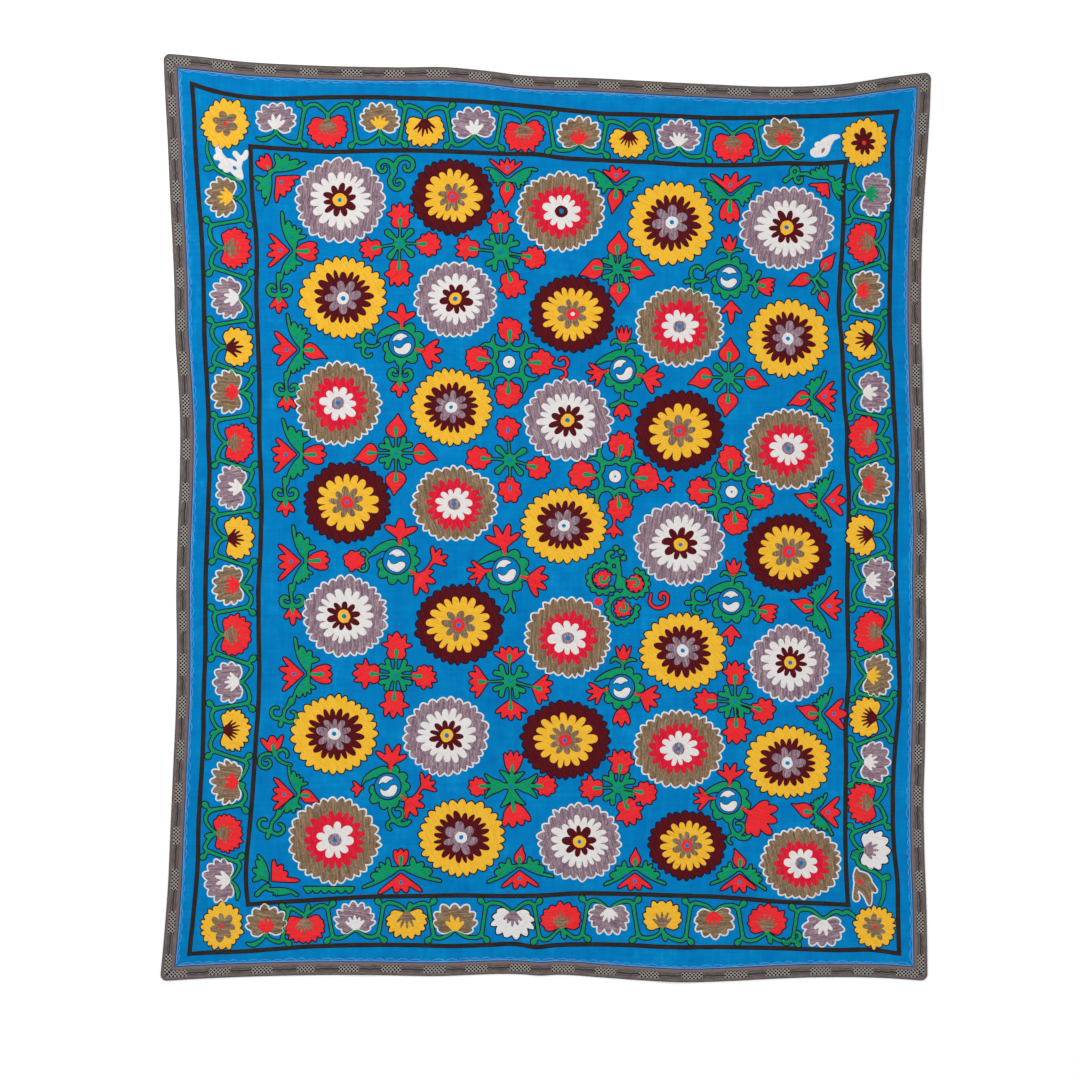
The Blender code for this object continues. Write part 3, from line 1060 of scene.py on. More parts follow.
# Border palmettes from each side's start: place x, place y, outer thread, inner thread, bud
# at the base. The petals of a side's first one point out, or in along the bottom, then in turn.
PALMETTES = {
    "top": (
        (276, 119, "mauve", WHITE, 0), (328, 130, "red", "taupe", 0), (380, 119, "taupe", "yellow", 1),
        (425, 130, "yellow", "maroon", 0), (474, 124, "mauve", WHITE, 0), (524, 135, "red", "taupe", 0),
        (579, 134, "taupe", "red", 0), (629, 142, "yellow", "maroon", 0), (679, 136, "mauve", WHITE, 0),
        (733, 146, "red", "taupe", 0), (784, 135, "taupe", "red", 0),
    ),
    "left": (
        (222.5, 197, "taupe", "yellow", 0), (234.5, 248, "red", "taupe", 0), (228, 298, "mauve", WHITE, 0),
        (237, 347, "yellow", "maroon", 0), (228, 392, "taupe", "red", 1), (238, 443, "red", "taupe", 0),
        (232, 487, "mauve", WHITE, 1), (238, 538, "yellow", "maroon", 0), (229, 585, "taupe", "red", 1),
        (235, 635, "red", "taupe", 0), (229, 682, "mauve", WHITE, 0), (234, 730, "yellow", "maroon", 1),
        (228, 782, "taupe", "red", 1), (227, 833, "red", "taupe", 1), (220, 880, "mauve", WHITE, 0),
    ),
    "right": (
        (875, 194, "mauve", "green", 0), (864, 243, "red", "taupe", 0), (867, 291, "taupe", "red", 0),
        (862, 340, "yellow", "maroon", 0), (873, 392, "mauve", WHITE, 0), (865, 437, "red", "taupe", 1),
        (873, 484, "taupe", "red", 0), (862, 535, "yellow", "maroon", 0), (877, 580, "mauve", WHITE, 0),
        (871, 632, "red", "taupe", 0), (877, 676, "taupe", "yellow", 0), (866, 717, "yellow", "maroon", 0),
        (874, 762, "mauve", WHITE, 1), (863, 803, "red", "taupe", 0), (874, 850, WHITE, "mauve", 1),
    ),
    "bottom": (
        (266, 922, "taupe", "red", 0), (305, 928, "red", "taupe", 1), (355, 919, "mauve", WHITE, 0),
        (407, 922, "yellow", "taupe", 1), (455, 920, "taupe", "yellow", 0), (512.5, 922, WHITE, "mauve", 0),
        (561, 918, "red", "taupe", 1), (609, 918, "mauve", WHITE, 0), (662, 917, "yellow", "taupe", 1),
        (714, 922, "taupe", "red", 0), (767, 921, "red", "taupe", 1), (823, 930.5, "mauve", WHITE, 0),
    ),
}
# Degrees that turn a palmette outward, its width and height in pixels, and the vine's width
OUTWARD_TURN = {"top": 0, "left": 90, "bottom": 180, "right": 270}
PALMETTE_SIZE = {"pale": (43, 34), "bright": (42, 35)}
VINE_WIDTH = 3.5


def palmette(at, turn, width, height, outer, inner):
    """A shell of petals fanned from a notch at its base, and a small crown in it."""
    pale = outer in ("mauve", "taupe", WHITE)
    outline = WHITE if outer in ("mauve", "taupe") else DARK
    petals = int(RNG.integers(9, 12)) if pale else int(RNG.integers(11, 15))
    root = np.array([0.0, -0.27 * height])
    reach = 148.0 if pale else 142.0
    turns = np.linspace(reach, -reach, 2 * petals + 1) + RNG.uniform(-1.2, 1.2, 2 * petals + 1)
    shell = np.column_stack([np.sin(np.radians(-turns)) * width / 2, np.cos(np.radians(turns)) * height / 2])
    share = np.ones(2 * petals + 1)
    share[1::2] += RNG.uniform(-0.05, 0.05, petals)
    share[0::2] = (0.80 if pale else 0.85) + RNG.uniform(-0.03, 0.03, petals + 1)
    line = finger_run(root + (shell - root) * share[:, None], fullness=0.75 if outer != "red" else 0.45)
    shape = place(np.vstack([line, root]), at, turn)
    stitch(outer, [shape], outline=outline, grain=90 + RNG.uniform(-14, 14),
           cord_width=4.6 if outline == WHITE else 4.0, soft=1.15)
    tips = int(RNG.integers(4, 6)) if pale else int(RNG.integers(5, 8))
    spread = 128 if pale else 122
    middle = 1 - 0.16 * np.abs(np.linspace(-1, 1, tips)) ** 2
    reaches = height * (0.42 if pale else 0.46) * middle * RNG.uniform(0.90, 1.10, tips)
    crown_shape = spray(reaches, spread, height * 0.23)
    foot = [(0.07 * height, -0.04 * height), (-0.07 * height, -0.04 * height)]
    local = np.vstack([crown_shape, foot]) + root
    stitch(inner, [place(local, at, turn)], level=1, grain=turn + 90, soft=1.0)


def bud(at, toward, length=8.6, width=6.8):
    """A small knob at the end of a short stem."""
    at = np.array(at, float)
    toward = np.array(toward, float) / np.hypot(*toward)
    path = [at, at + toward * length * 0.45, at + toward * length * 0.8]
    return stroke(path, (3.0, 2.6, width, width * 0.96))


# Where the bottom vine ends, beside its corner flower
VINE_END = [(847.5, 911.5), (857.5, 919.0)]


def side_vine(side):
    """Strokes of the vine along one side, and its palmettes."""
    flowers = PALMETTES[side]
    level_side = side in ("top", "bottom")
    places = [flower[0] if level_side else flower[1] for flower in flowers]
    first_sign = -1 if side == "bottom" else 1
    shapes = []
    count = len(flowers)
    for i, s in enumerate(places):
        sign = first_sign * (1 if i % 2 == 0 else -1)
        before = (s + places[i - 1]) / 2 if i else s - 23
        after = (s + places[i + 1]) / 2 if i < count - 1 else s + 23
        slope = 4.0 if sign < 0 and not level_side else 1.5
        back_slope = 4.0 if sign > 0 and not level_side else 1.5
        jig = RNG.uniform(-0.05, 0.05, 6)
        notch = band_point(side, s, sign * (0.30 + jig[0]))
        near = band_point(side, s - 4, sign * (0.50 + jig[1]))
        bulge = band_point(side, s - 13, sign * (0.70 + jig[2]))
        corner = band_point(side, before + back_slope + 2, sign * (0.62 + jig[3]))
        mid = band_point(side, before, 0)
        far_near = band_point(side, s + 4, sign * (0.50 + jig[1]))
        far_bulge = band_point(side, s + 13, sign * (0.70 + jig[4]))
        far_corner = band_point(side, after - slope - 2, sign * (0.62 + jig[5]))
        far_mid = band_point(side, after, 0)
        widths = (VINE_WIDTH * 0.95, VINE_WIDTH * 1.1, VINE_WIDTH * 1.15, VINE_WIDTH, VINE_WIDTH * 0.8)
        if i:
            shapes.append(stroke([mid, corner, bulge, near, notch], widths))
            root = band_point(side, before + back_slope, sign * 0.62)
            tip = band_point(side, before + back_slope - 6, sign * 0.86)
            shapes.append(bud(root, np.subtract(tip, root)))
        elif side not in ("left", "right"):
            shapes.append(stroke([corner, bulge, near, notch], (2.2, VINE_WIDTH * 1.5, VINE_WIDTH, 2.8)))
        if i < count - 1:
            shapes.append(stroke([notch, far_near, far_bulge, far_corner, far_mid], widths[::-1]))
            root = band_point(side, after - slope, sign * 0.62)
            tip = band_point(side, after - slope + 6, sign * 0.86)
            shapes.append(bud(root, np.subtract(tip, root)))
        elif side != "right":
            path = [notch, far_near, far_bulge, far_corner]
            path += VINE_END if side == "bottom" else []
            shapes.append(stroke(path, (2.8, VINE_WIDTH, VINE_WIDTH * 1.4, 2.6)))
        tie = band_point(side, s, sign * 0.12)
        shapes.append(stroke([notch, tie], (4.6, 3.0)))
        if flowers[i][-1]:
            tip = band_point(side, s + 5, sign * 0.92)
            shapes.append(bud(notch, np.subtract(tip, notch), length=13.0, width=5.0))
    stitch("green", shapes, outline=DARK + "_border", cord_width=3.7, soft=1.45)
    for i, (x, y, outer, inner, _) in enumerate(flowers):
        sign = first_sign * (1 if i % 2 == 0 else -1)
        turn = OUTWARD_TURN[side] + (0 if sign > 0 else 180)
        width, height = PALMETTE_SIZE["pale" if outer in ("mauve", "taupe", WHITE) else "bright"]
        width *= RNG.uniform(0.94, 1.05)
        height *= RNG.uniform(0.95, 1.04)
        palmette((x, y), turn + RNG.uniform(-6, 6), width, height, outer, inner)


# Corner flowers and the odd figures of the border
# A flower's middle, width, height, inner thread and petals

CORNER_FLOWERS = (
    (224.9, 124.0, 49, 53, "taupe", 6), (864.0, 143.0, 50, 47, "maroon", 9),
    (222.0, 926.5, 50, 44, "taupe", 7), (874.6, 927.0, 45, 44, "taupe", 9),
)


def corner_flower(x, y, width, height, inner, petals):
    """A scalloped yellow round with a flower in it."""
    angles, radii = lobed(19, 1.0, 0.14, 1.9, vary=0.035)
    rim = radii * slimmed(angles, width, height) * 0.97
    turn = RNG.uniform(0, 360)
    angles = angles + turn
    ring_fill("yellow", (x, y), angles, rim, np.full(len(rim), NO_HOLE), 0, RNG.uniform(0, 60))
    rim_cord(DARK, (x, y), angles, rim, 3.6)
    angles, radii = lobed(petals, width * 0.27, 0.42, 1.9, vary=0.08)
    ring_fill(inner, (x, y), angles + turn, radii, np.full(len(radii), NO_HOLE), 1, 90)
    disc("red", (x, y), 2.2, 2)


def border_stem(strokes):
    """A thin green stem with its dark outline."""
    stitch("green", strokes, outline=DARK, cord_width=3.1, soft=1.35)


def top_stems():
    """The stems under the two upper corner flowers."""
    border_stem([
        stroke([(208.5, 137), (207, 149), (209.5, 158), (213.8, 167)], (1.6, 3.4, 3.6, 3.2)),
        stroke([(213.8, 167), (220, 172), (228, 176), (240, 181.5), (244.5, 190), (241, 196), (236, 200)],
               (3.4, 3.4, 3.6, 3.6, 3.4, 3.2)),
        stroke([(213.8, 167), (209, 168.6), (206, 168.6)], (3, 5.2, 5.6)),
    ])
    border_stem([
        stroke([(861, 162.5), (855, 170.5), (853.5, 180), (857, 188), (860, 191)], (2.4, 3.6, 4.2, 4.0, 3.6)),
        bud((856, 188), (-7, -1), length=9.0),
    ])


def border_comma():
    """The white figure inside the top left corner, with its small eye."""
    motif = Motif((230, 163), cord_width=2.6)
    for path, widths in (
        (((-12, 16), (-10, 8), (-5, 1), (1, -4)), (5, 5.5, 7, 8.5)),
        (((-1, 0), (5, -5), (10, -14)), (9, 11, 6.5)),
        (((8, -4), (10, 3), (5, 9.5)), (6, 4.4, 4.6)),
        (((10, 3), (15, 6.5), (16.5, 11)), (4.4, 5.4, 3.6)),
    ):
        motif.add(WHITE, stroke(path, widths), outline=WHITE)
    for at in ((-13, 6), (-8, -3), (-3.5, -6.5)):
        motif.add(WHITE, oval(6.5, 6), at, outline=WHITE)
    motif.eye((4.8, -5.0), -45, 5.4, 3.6)
    motif.sew()


def border_paisley():
    """The white paisley beside the top right corner flower."""
    motif = Motif((824, 147), cord_width=2.6)
    path = [(-8, -6.5), (-2, -3), (2.4, 4), (8.5, 9.2), (14.6, 10.4)]
    motif.add(WHITE, stroke(path, (8, 13.5, 10.5, 6.4, 2.8)), outline=WHITE)
    for at, reach in (((-6, 2), 6.4), ((-9, -5.4), 9)):
        motif.add(WHITE, oval(reach, reach), at, outline=WHITE)
    motif.add("mauve", oval(6.6, 3.2), (-1.0, -3.4), 62, level=1)
    motif.sew()


def border_fork():
    """The forked taupe figure above the bottom right corner flower."""
    motif = Motif((862, 884))
    for path, widths in (
        (((-5.3, 15.5), (-5, 8), (-1, 0), (5, -9), (7.4, -19.5)), (2.4, 9, 13, 9, 4.4)),
        (((-4, 2), (-6.4, -6), (-5.8, -14)), (7, 4.4, 7)),
        (((0, 2), (7, -2), (13, -6.4)), (9, 10, 5)),
        (((-3, 9), (3, 6.5), (6, 2)), (8, 9, 8)),
    ):
        motif.add("taupe", stroke(path, widths), outline=WHITE)
    motif.add("red", oval(6.6, 4.8), (-2.4, 2.4), 115, level=1)
    motif.sew()


def border_hook():
    """The hooked stem above the bottom right corner flower."""
    path = [(867, 849.5), (860, 851.5), (856.8, 857), (859, 864.5), (867, 869), (877, 873.5),
            (883.6, 882), (883.4, 896), (880, 905)]
    border_stem([
        stroke(path, (2.6, 3.6, 4.2, 4.2, 4.0, 4.0, 4.2, 4.0, 3.2)),
        bud((859, 853), (-7, 4), length=8.0),
        bud((880, 876), (9, 1.4), length=10.0),
    ])


def border_spiral():
    """The double curl in the bottom border."""
    motif = Motif((789.5, 934.5))
    motif.add("green", curl((0.5, -5), (6.2, -0.6), 262, 2.6, (4.4, 4.6, 4.2, 3.2)))
    motif.add("green", curl((0.5, -5), (-3.4, -5.6), -205, 3.0, (4.2, 4.2, 4.0, 3.2)))
    motif.sew()


def border_oddments():
    """The pieces of the border that are in no palmette row."""
    for figure in (top_stems, border_comma, border_paisley, border_fork, border_hook, border_spiral):
        figure()


# Sprigs that stand on the inner line: centre x and y, turn, wing tips to their left and right,
# reaches of the fan, head, and what hangs from the right wing. Their heads point to the field.
SPRIGS = {
    "left": (
        (294.6, 251, -90, (39, -14), (31, -15.5), (28, 23, 22, 27), "tulip", "horns"),
        (302, 350, -90, (37, -16.5), (31, -15.5), (27, 24, 29), "bent", "horns"),
        (301.7, 454.5, -90, (36, -20), (31, -17), (29, 26, 26, 27), "tulip", "horns"),
        (306, 561, -90, (37, -12), (31, -16), (29, 25, 24, 28), "tulip", "horns"),
        (309, 674, -90, (37.5, -16), (31, -19), (28, 24, 25, 28), "tulip", "anchor"),
        (299, 795, -90, (31, -12), (31, -21), (27, 23, 23, 27), "bent", "anchor"),
    ),
    "top": (
        (507.4, 180.5, 180, (30, -11), (29.5, -10.5), (24, 18, 17, 18, 22), "drop", ""),
        (616, 187.5, 180, (28, -9), (31, -13), (18, 19, 17, 18), "drop", ""),
        (730, 198, 180, (35, -10), (31, -16), (29, 19, 22, 28), "tulip", ""),
    ),
    "right": (
        (810.7, 397, 90, (28.5, -17), (25, -17), (24, 22, 21, 25), "bent", ""),
        (818.4, 501, 90, (26, -13), (29, -16), (25, 22, 25), "bent", ""),
        (814.5, 606.5, 90, (32, -15), (30, -18), (26, 24, 23, 24), "bent", ""),
        (819.6, 713.7, 90, (26, -12), (27, -13), (25, 22, 25), "bent", ""),
        (814.5, 811.8, 90, (25, -17), (20, -12), (25, 21, 25), "bent", ""),
    ),
    "bottom": (
        (401, 868, 0, (38, -20), (41, -15), (29, 22, 22, 30), "tulip", ""),
        (519.5, 865.4, 0, (33, -18), (34, -14), (25, 19, 19, 26), "drop", ""),
        (635, 868, 0, (30, -18), (33, -14), (24, 19, 19, 24), "drop", ""),
        (739.9, 869, 0, (29, -18), (26, -21), (24, 19, 19, 25), "bent", ""),
    ),
}
# Where a wing's back bends and by how much, as shares of its length, and its fingers' lean
WING_BUILD = {
    "left": (0.45, 0.22, 0), "top": (0.75, 0.32, 0),
    "right": (0.45, 0.18, 6), "bottom": (0.45, 0.12, 14),
}
# Size of the figure at a sprig's head
HEAD_SIZE = {"left": 0.96, "top": 1.0, "right": 0.88, "bottom": 0.76}


def horns(motif, at, turn):
    """Two horns at a stem's end, curled back, and a red cup beyond them."""
    for shape in both_sides(curl((0, 0), (6.2, -4.8), -300, 2.0, (4.2, 5.0, 4.6, 3.2))):
        motif.add("green", shape, at, turn)
    motif.add("red", fan((17, 20, 17), 60, 12.5, 1.0, 9.0), at, turn)
    motif.stem([(0, -2), (0, 3.5), (0, 9)], (3.4, 5.4, 2.2), at, turn, level=1)


def anchor(motif, at, turn):
    """A stem with two curls that rise from it, and a knob at its foot."""
    motif.stem([(0, 2), (0, 8.5), (0.5, 17)], (3.2, 3.4, 5.0), at, turn)
    for shape in both_sides(curl((0, 9), (7.5, 4.5), -255, 3.4, (3.4, 3.8, 3.6, 2.8))):
        motif.add("green", shape, at, turn)


def sprig(x, y, turn, left_tip, right_tip, reaches, top, hanging, wing_build, head_size):
    """Two wings and a red fan about a small disc, with a red figure at the head."""
    motif = Motif((x, y), turn + RNG.uniform(-2, 2))
    bend_at, bend, lean = wing_build
    for side, own in ((1, right_tip), (-1, left_tip)):
        own = np.array(own, float) * (side, 1) + RNG.uniform(-1, 1, 2)
        shape, (eye, eye_turn) = wing(own, bend_at, bend, int(RNG.integers(3, 5)), lean, side)
        swing, size = motif.fit("green", shape, (0, 0), 0, swing=8)
        motif.eye(moved([eye * size], turn=swing)[0], eye_turn + swing)
        if side > 0:
            end_x, end_y = moved([np.array(right_tip) * size], turn=swing)[0]
    if hanging == "horns":
        path = [(end_x - 7, end_y), (end_x, end_y), (end_x + 7, end_y + 0.5), (end_x + 12, end_y + 1)]
        motif.stem(path, (4.4, 3.8, 2.8, 3.2))
        horns(motif, (end_x + 12, end_y + 1), -90)
    elif hanging == "anchor":
        path = [(end_x - 6, end_y + 1), (end_x, end_y - 1), (end_x + 6, end_y - 6)]
        motif.stem(path, (4.4, 4, 3))
        anchor(motif, (end_x + 4, end_y - 4.5), -105)
    motif.add("green", oval(5, 4.4))
    spread = 92 if turn in (0, 180) else 74
    motif.add("red", fan(reaches, spread, min(reaches) * 0.70), (0, -4.6), 180)
    motif.eye((0, -5 - min(reaches) * 0.42), 90, 4.6, 3.8)
    foot = (0, 1.2)
    if top == "tulip":
        shape = tulip(24, 21, tips=3, flare=0.40, outer=0.9, valley=0.76, fullness=1.0)
        stem = ((0, 0), (0, 6), (0, 12))
    elif top == "drop":
        shape = drop(26, 15, RNG.uniform(-3, 5))
        stem = ((0, 0), (0, 8))
    else:
        shape = drop(26, 17, 9 * (1 if RNG.uniform() < 0.5 else -1))
        stem = ((0, 0), (0, 9))
    _, size = motif.fit("red", shape * head_size, foot, 0, swing=8)
    motif.stem(np.array(stem) * size * head_size, (2.4, 3.6, 5.2), foot, level=1)
    motif.sew()


# Crosses: centre, kind of head, size of their disc, the heads' distances to the north, east,
# south and west, and whether the petals between are hearts
CROSSES = (
    (399.7, 243.4, "lily", 12, (14.5, 16, 16, 18), 0), (501.3, 252, "lily", 17, (18, 20, 21, 22), 1),
    (617.7, 269, "drop", 10, (13, 12, 13, 14), 1), (396, 453, "drop", 12, (15, 17, 18, 18), 1),
    (728.4, 377.6, "drop", 12, (15, 16, 15, 16), 0), (510, 460, "round", 13, (19, 17, 17, 18.5), 0),
    (395.4, 675, "lily", 12, (15, 16, 15, 15), 1), (510, 681, "fan", 13, (16, 22, 18, 21), 1),
    (617.7, 787.6, "lily", 12, (13, 15, 13, 14), 1), (734.8, 701.6, "lily", 12, (16, 17, 15, 17), 1),
)
# How a cross's drops bend, in degrees, from the north one round to the west
BENDS = (2, 8, 3, -8)


def cross(x, y, kind, disc_size, distances, hearts):
    """A disc with four red heads on stems, and green petals or hearts between them."""
    motif = Motif((x, y), RNG.uniform(-3, 3))
    motif.add("green", oval(disc_size, disc_size))
    motif.eye((0, 0), 0, disc_size * 0.38, disc_size * 0.32)
    swings = []
    for k, distance in enumerate(distances):
        turn = -90 * k
        foot = moved([(0, distance)], turn=turn)[0]
        if kind == "drop":
            shape = drop(25, 20.5, BENDS[k] + RNG.uniform(-1, 1))
        elif kind == "fan":
            shape = fan((21, 22, 21, 22, 21), 98, 15.5, 0.8)
        elif kind == "round" or k == 1:
            shape = head(26, 26, lobes=int(RNG.integers(6, 9)), depth=0.28)
        else:
            shape = lily(28, 28)
        swing, _ = motif.fit("red", shape, foot, turn)
        swings.append(swing)
        foot = moved([(0, distance)], turn=turn + swing)[0]
        if kind != "round" or k % 2:
            stem = stroke([(0, -1), (0, 5), (0, 9)], (1.8, 3.0, 5.0))
            motif.add("green", stem, foot, turn + swing, level=1)
        else:
            motif.eye(moved([(0, distance + 11)], turn=turn + swing)[0], turn + 90, 7, 3.4)
        stem = [(0, disc_size * 0.3), (0, distance * 0.6), (0, distance + 2)]
        motif.stem(stem, (2.6, 2.2, 2.2), turn=turn + swing)
    for k, swing in enumerate(swings):
        after = swings[(k + 1) % 4]
        diagonal = -90 * k - 45 + (swing + after) / 2 + RNG.uniform(-5, 5)
        start = moved([(0, disc_size * 0.35)], turn=diagonal)[0]
        if hearts:
            for side in (1, -1):
                path = [(0, 0), (side * 1.0, 5.5), (side * 4.2, 11.5)]
                motif.stem(path, (3.0, 4.6, 5.6), start, diagonal)
        else:
            motif.stem([(0, 0), (0, 6), (0, 12)], (2.4, 4.8, 6.8), start, diagonal)
    motif.sew()


# Ring flowers: a white eye in a green ring with curling tips, and four red heads
RING_FLOWERS = ((509, 362, 1), (615, 476.5, 2), (731.6, 491.8, 0))


def ring_flower(x, y, tails):
    """A flower with tails of a kind, 0 for none: 1 is the scrolled one, 2 the two small hands."""
    motif = Motif((x, y), RNG.uniform(-4, 4))
    for k in range(4):
        turn = -90 * k
        side_arc = [(0.5, 17), (5, 13.2), (12.5, 13.6), (20, 16.5), (26, 16.8), (31, 14.5)]
        rising_arc = [(-0.5, 17), (-5, 13.2), (-12.5, 13.6), (-20, 16.5), (-26, 16.8), (-31, 14.5)]
        stretch = RNG.uniform(0.86, 1.0)
        for arc in (side_arc, rising_arc):
            points = np.array(arc, float) * (stretch, 1)
            motif.stem(points, (3.4, 4.6, 5.0, 5.2, 3.6, 1.4), turn=turn)
        motif.stem([(0, 15), (0, 22)], (3.6, 2.6), turn=turn)
        foot = moved([(0, 19)], turn=turn)[0]
        length, width, lobes = RNG.uniform(25, 28), RNG.uniform(26, 30), int(RNG.integers(7, 10))
        shape = head(length, width, lobes, depth=0.22, gap=60)
        swing, _ = motif.fit("red", shape, foot, turn, swing=12)
        foot = moved([(0, 19)], turn=turn + swing)[0]
        motif.stem([(0, -2), (0, 5), (0, 11)], (2.2, 3.0, 5.4), foot, turn + swing, level=1)
    if tails == 1:
        motif.add("red", stroke([(42, -3), (49, -4.5), (54, -5.5)], (3.6, 2.2, 2.4)))
        motif.add("red", curl((54, -5.5), (53.5, 1.5), 245, 3.4, (2.6, 3.4, 3.4, 2.6)))
        motif.add("red", curl((54, -5.5), (53, -11), -190, 3.4, (2.6, 3.2, 3.4, 3.0)))
    elif tails == 2:
        motif.add("red", stroke([(2, -41), (2, -48)], (3.6, 2.4)))
        motif.add("red", hand(17, 96, 3, 2.6, 0.42), (2, -46), 180)
        motif.add("red", stroke([(43, -3), (49, -4)], (3.6, 2.4)))
        motif.add("red", hand(15, 100, 3, 2.6, 0.42), (46, -4), -95)
    motif.sew()
    eye = Motif((x, y), cord_width=2.2)
    eye.add(WHITE, oval(13.0, 13.0))
    eye.eye((0, 0), 50, 3.4, 2.6)
    eye.sew()


# Wreaths: centre, size, head above, and what grows to the west, the east and the south
WREATHS = (
    (401.8, 344, 1.0, "hand", "anchor", "hand", "horns"),
    (622.8, 370, 1.0, "leaves", "claw", "hand", "fork_cup"),
    (729, 277.6, 0.96, "leaves", "anchor", "branch", "arrow"),
    (396.7, 560.6, 1.05, "hand", "flower", "twin", ""),
    (506, 570.8, 1.05, "hand", "claw", "hand", "fork"),
    (731, 601.4, 0.98, "leaves", "anchor", "branch", "arrow"),
    (621.6, 687.5, 0.98, "leaves", "claw", "hand", "cup"),
    (387.8, 786.3, 1.0, "hand", "tail", "twin", "scroll"),
    (728.4, 801, 0.98, "hand", "claw", "big", "scroll"),
)


# Where a wreath's ring ends in the west, and the rise of its tail, by what grows there
WREATH_TAILS = {"anchor": ((-25, -2), 0.0), "claw": ((-28.5, 5.5), 1.6), "tail": ((-27, -3), 0.0)}
PLAIN_TAIL = ((-29.5, 2.4), 0.0)
# The two white commas in a wreath's eye
COMMAS = (
    ((-7.5, -0.5), (-4.5, -3.4), (-0.5, -3.2), (3, 0.2), (7.6, 0.6), (9, -3.2), (5, -9.2), (-1.5, -10),
     (-7, -6.8)),
    ((-9, 2.2), (-5.4, 8.6), (0.8, 10.2), (6.6, 6.4), (2.4, 5.4), (-0.6, 3.0), (-5, 4.2)),
)


def wreath_ring(motif, west):
    """The scalloped green ring, which runs out into a tail in the west."""
    scallops = int(RNG.integers(7, 9))
    turns = np.linspace(84, -187, 2 * scallops + 1)
    reaches = np.full(2 * scallops + 1, 17.2) + RNG.uniform(-0.4, 0.4, 2 * scallops + 1)
    reaches[1::2] = 23.0 + RNG.uniform(-0.9, 0.9, scallops)
    reaches[-2:] = 19.0, 14.4
    outer = finger_run(polar(turns, reaches), 0.95)
    inner_turns = np.linspace(-186, 140, 34)
    inner = polar(inner_turns, np.full(34, 13.6))
    tail_tip, rise = WREATH_TAILS.get(west, PLAIN_TAIL)
    tail_out = smooth_line([tail_tip, (-24, 8.4 + rise), (-17, 15), (-7, 19.5), (0, 20)], 4)
    tail_in = smooth_line([(-13.0, 9.5), (-18, 6.4 + rise), (-23, 4.2 + rise), tail_tip], 4)
    motif.add("green", np.vstack([tail_out[:-1], outer, inner, tail_in[1:-1]]))


def wreath_north(motif, kind):
    """A tulip between leaves, or a hand."""
    if kind == "leaves":
        motif.stem([(0, 18), (0.5, 23), (0.5, 27)], (4, 3, 4))
        motif.stem([(0.5, 24), (4, 27), (9, 29), (14, 28)], (3, 3.6, 3.8, 2))
        motif.stem([(0.5, 24), (-4, 28), (-9, 29), (-12, 25)], (3, 4, 4.2, 2))
        shape = tulip(19, 15, tips=int(RNG.integers(3, 5)), flare=0.5, outer=0.9, valley=0.55)
        motif.fit("red", shape, (0.5, 25.5), 0, swing=8)
    else:
        shape = hand(28, 112, int(RNG.integers(3, 5)), 5.2, 0.40, 0.9)
        motif.arm(shape, (1.5, 17.0), RNG.uniform(-5, 5), swing=16)


def wreath_west(motif, kind):
    """A claw, a tail's hand, a flower or an anchor."""
    if kind == "claw":
        motif.arm(hand(22, 96, 4, 3.0, 0.38, 0.9), (-15.5, -2.5), 110)
    elif kind == "tail":
        motif.add("red", hand(14, 100, 3, 2.4, 0.42), (-24, -1.6), 98)
    elif kind == "flower":
        motif.add("red", head(21, 21, lobes=6), (-30, 0), 92)
        motif.add("green", curl((-30, 0), (-33, 6), 230, 3, (2.6, 3, 3, 2.4)))
        motif.add("green", curl((-30, 0), (-33, -6), -230, 3, (2.6, 3, 3, 2.4)))
    elif kind == "anchor":
        motif.stem([(-22, -1), (-29, -4), (-37, -3), (-45, -4)], (2.6, 3.0, 3.2, 5))
        motif.add("green", curl((-36, -3), (-32, 6), -215, 4.4, (3.4, 3.8, 3.8, 3.0)))
        motif.add("green", curl((-36, -4), (-33, -10), 215, 3.6, (3.4, 3.6, 3.6, 3.0)))


def wreath_east(motif, kind):
    """A hand, a large one, two of them or a branch."""
    if kind == "hand":
        motif.arm(hand(26, 98, 4, 4.0, 0.46, 0.95), (15.5, -5.0), -102)
    elif kind == "big":
        motif.arm(hand(40, 136, 6, 4.4, 0.50, 0.95, 0.66), (14.2, -7.4), -122)
    elif kind == "twin":
        motif.arm(hand(25, 108, 4, 3.6, 0.44, 0.95), (14.5, -10.5), -128)
        motif.add("red", stroke([(22, -16), (29, -8), (35, 0)], (4, 2.8, 3)))
        motif.add("red", hand(19, 112, 4, 3.2, 0.42, 0.95), (32, -3), -50)
    elif kind == "branch":
        motif.stem([(18, -6), (25, -6), (31, -8)], (3.4, 3.6, 4))
        motif.stem([(24, -6), (28, -1), (31, 5)], (3.4, 4.2, 6))
        motif.stem([(25, -6), (29, -13), (26, -19)], (3.4, 4.4, 5.6))
        motif.add("red", tulip(21, 19, tips=4, flare=0.46, outer=0.9, valley=0.72), (28, -7), -102)
        motif.stem([(28, -7.2), (36, -9)], (2.4, 4.6), level=1)


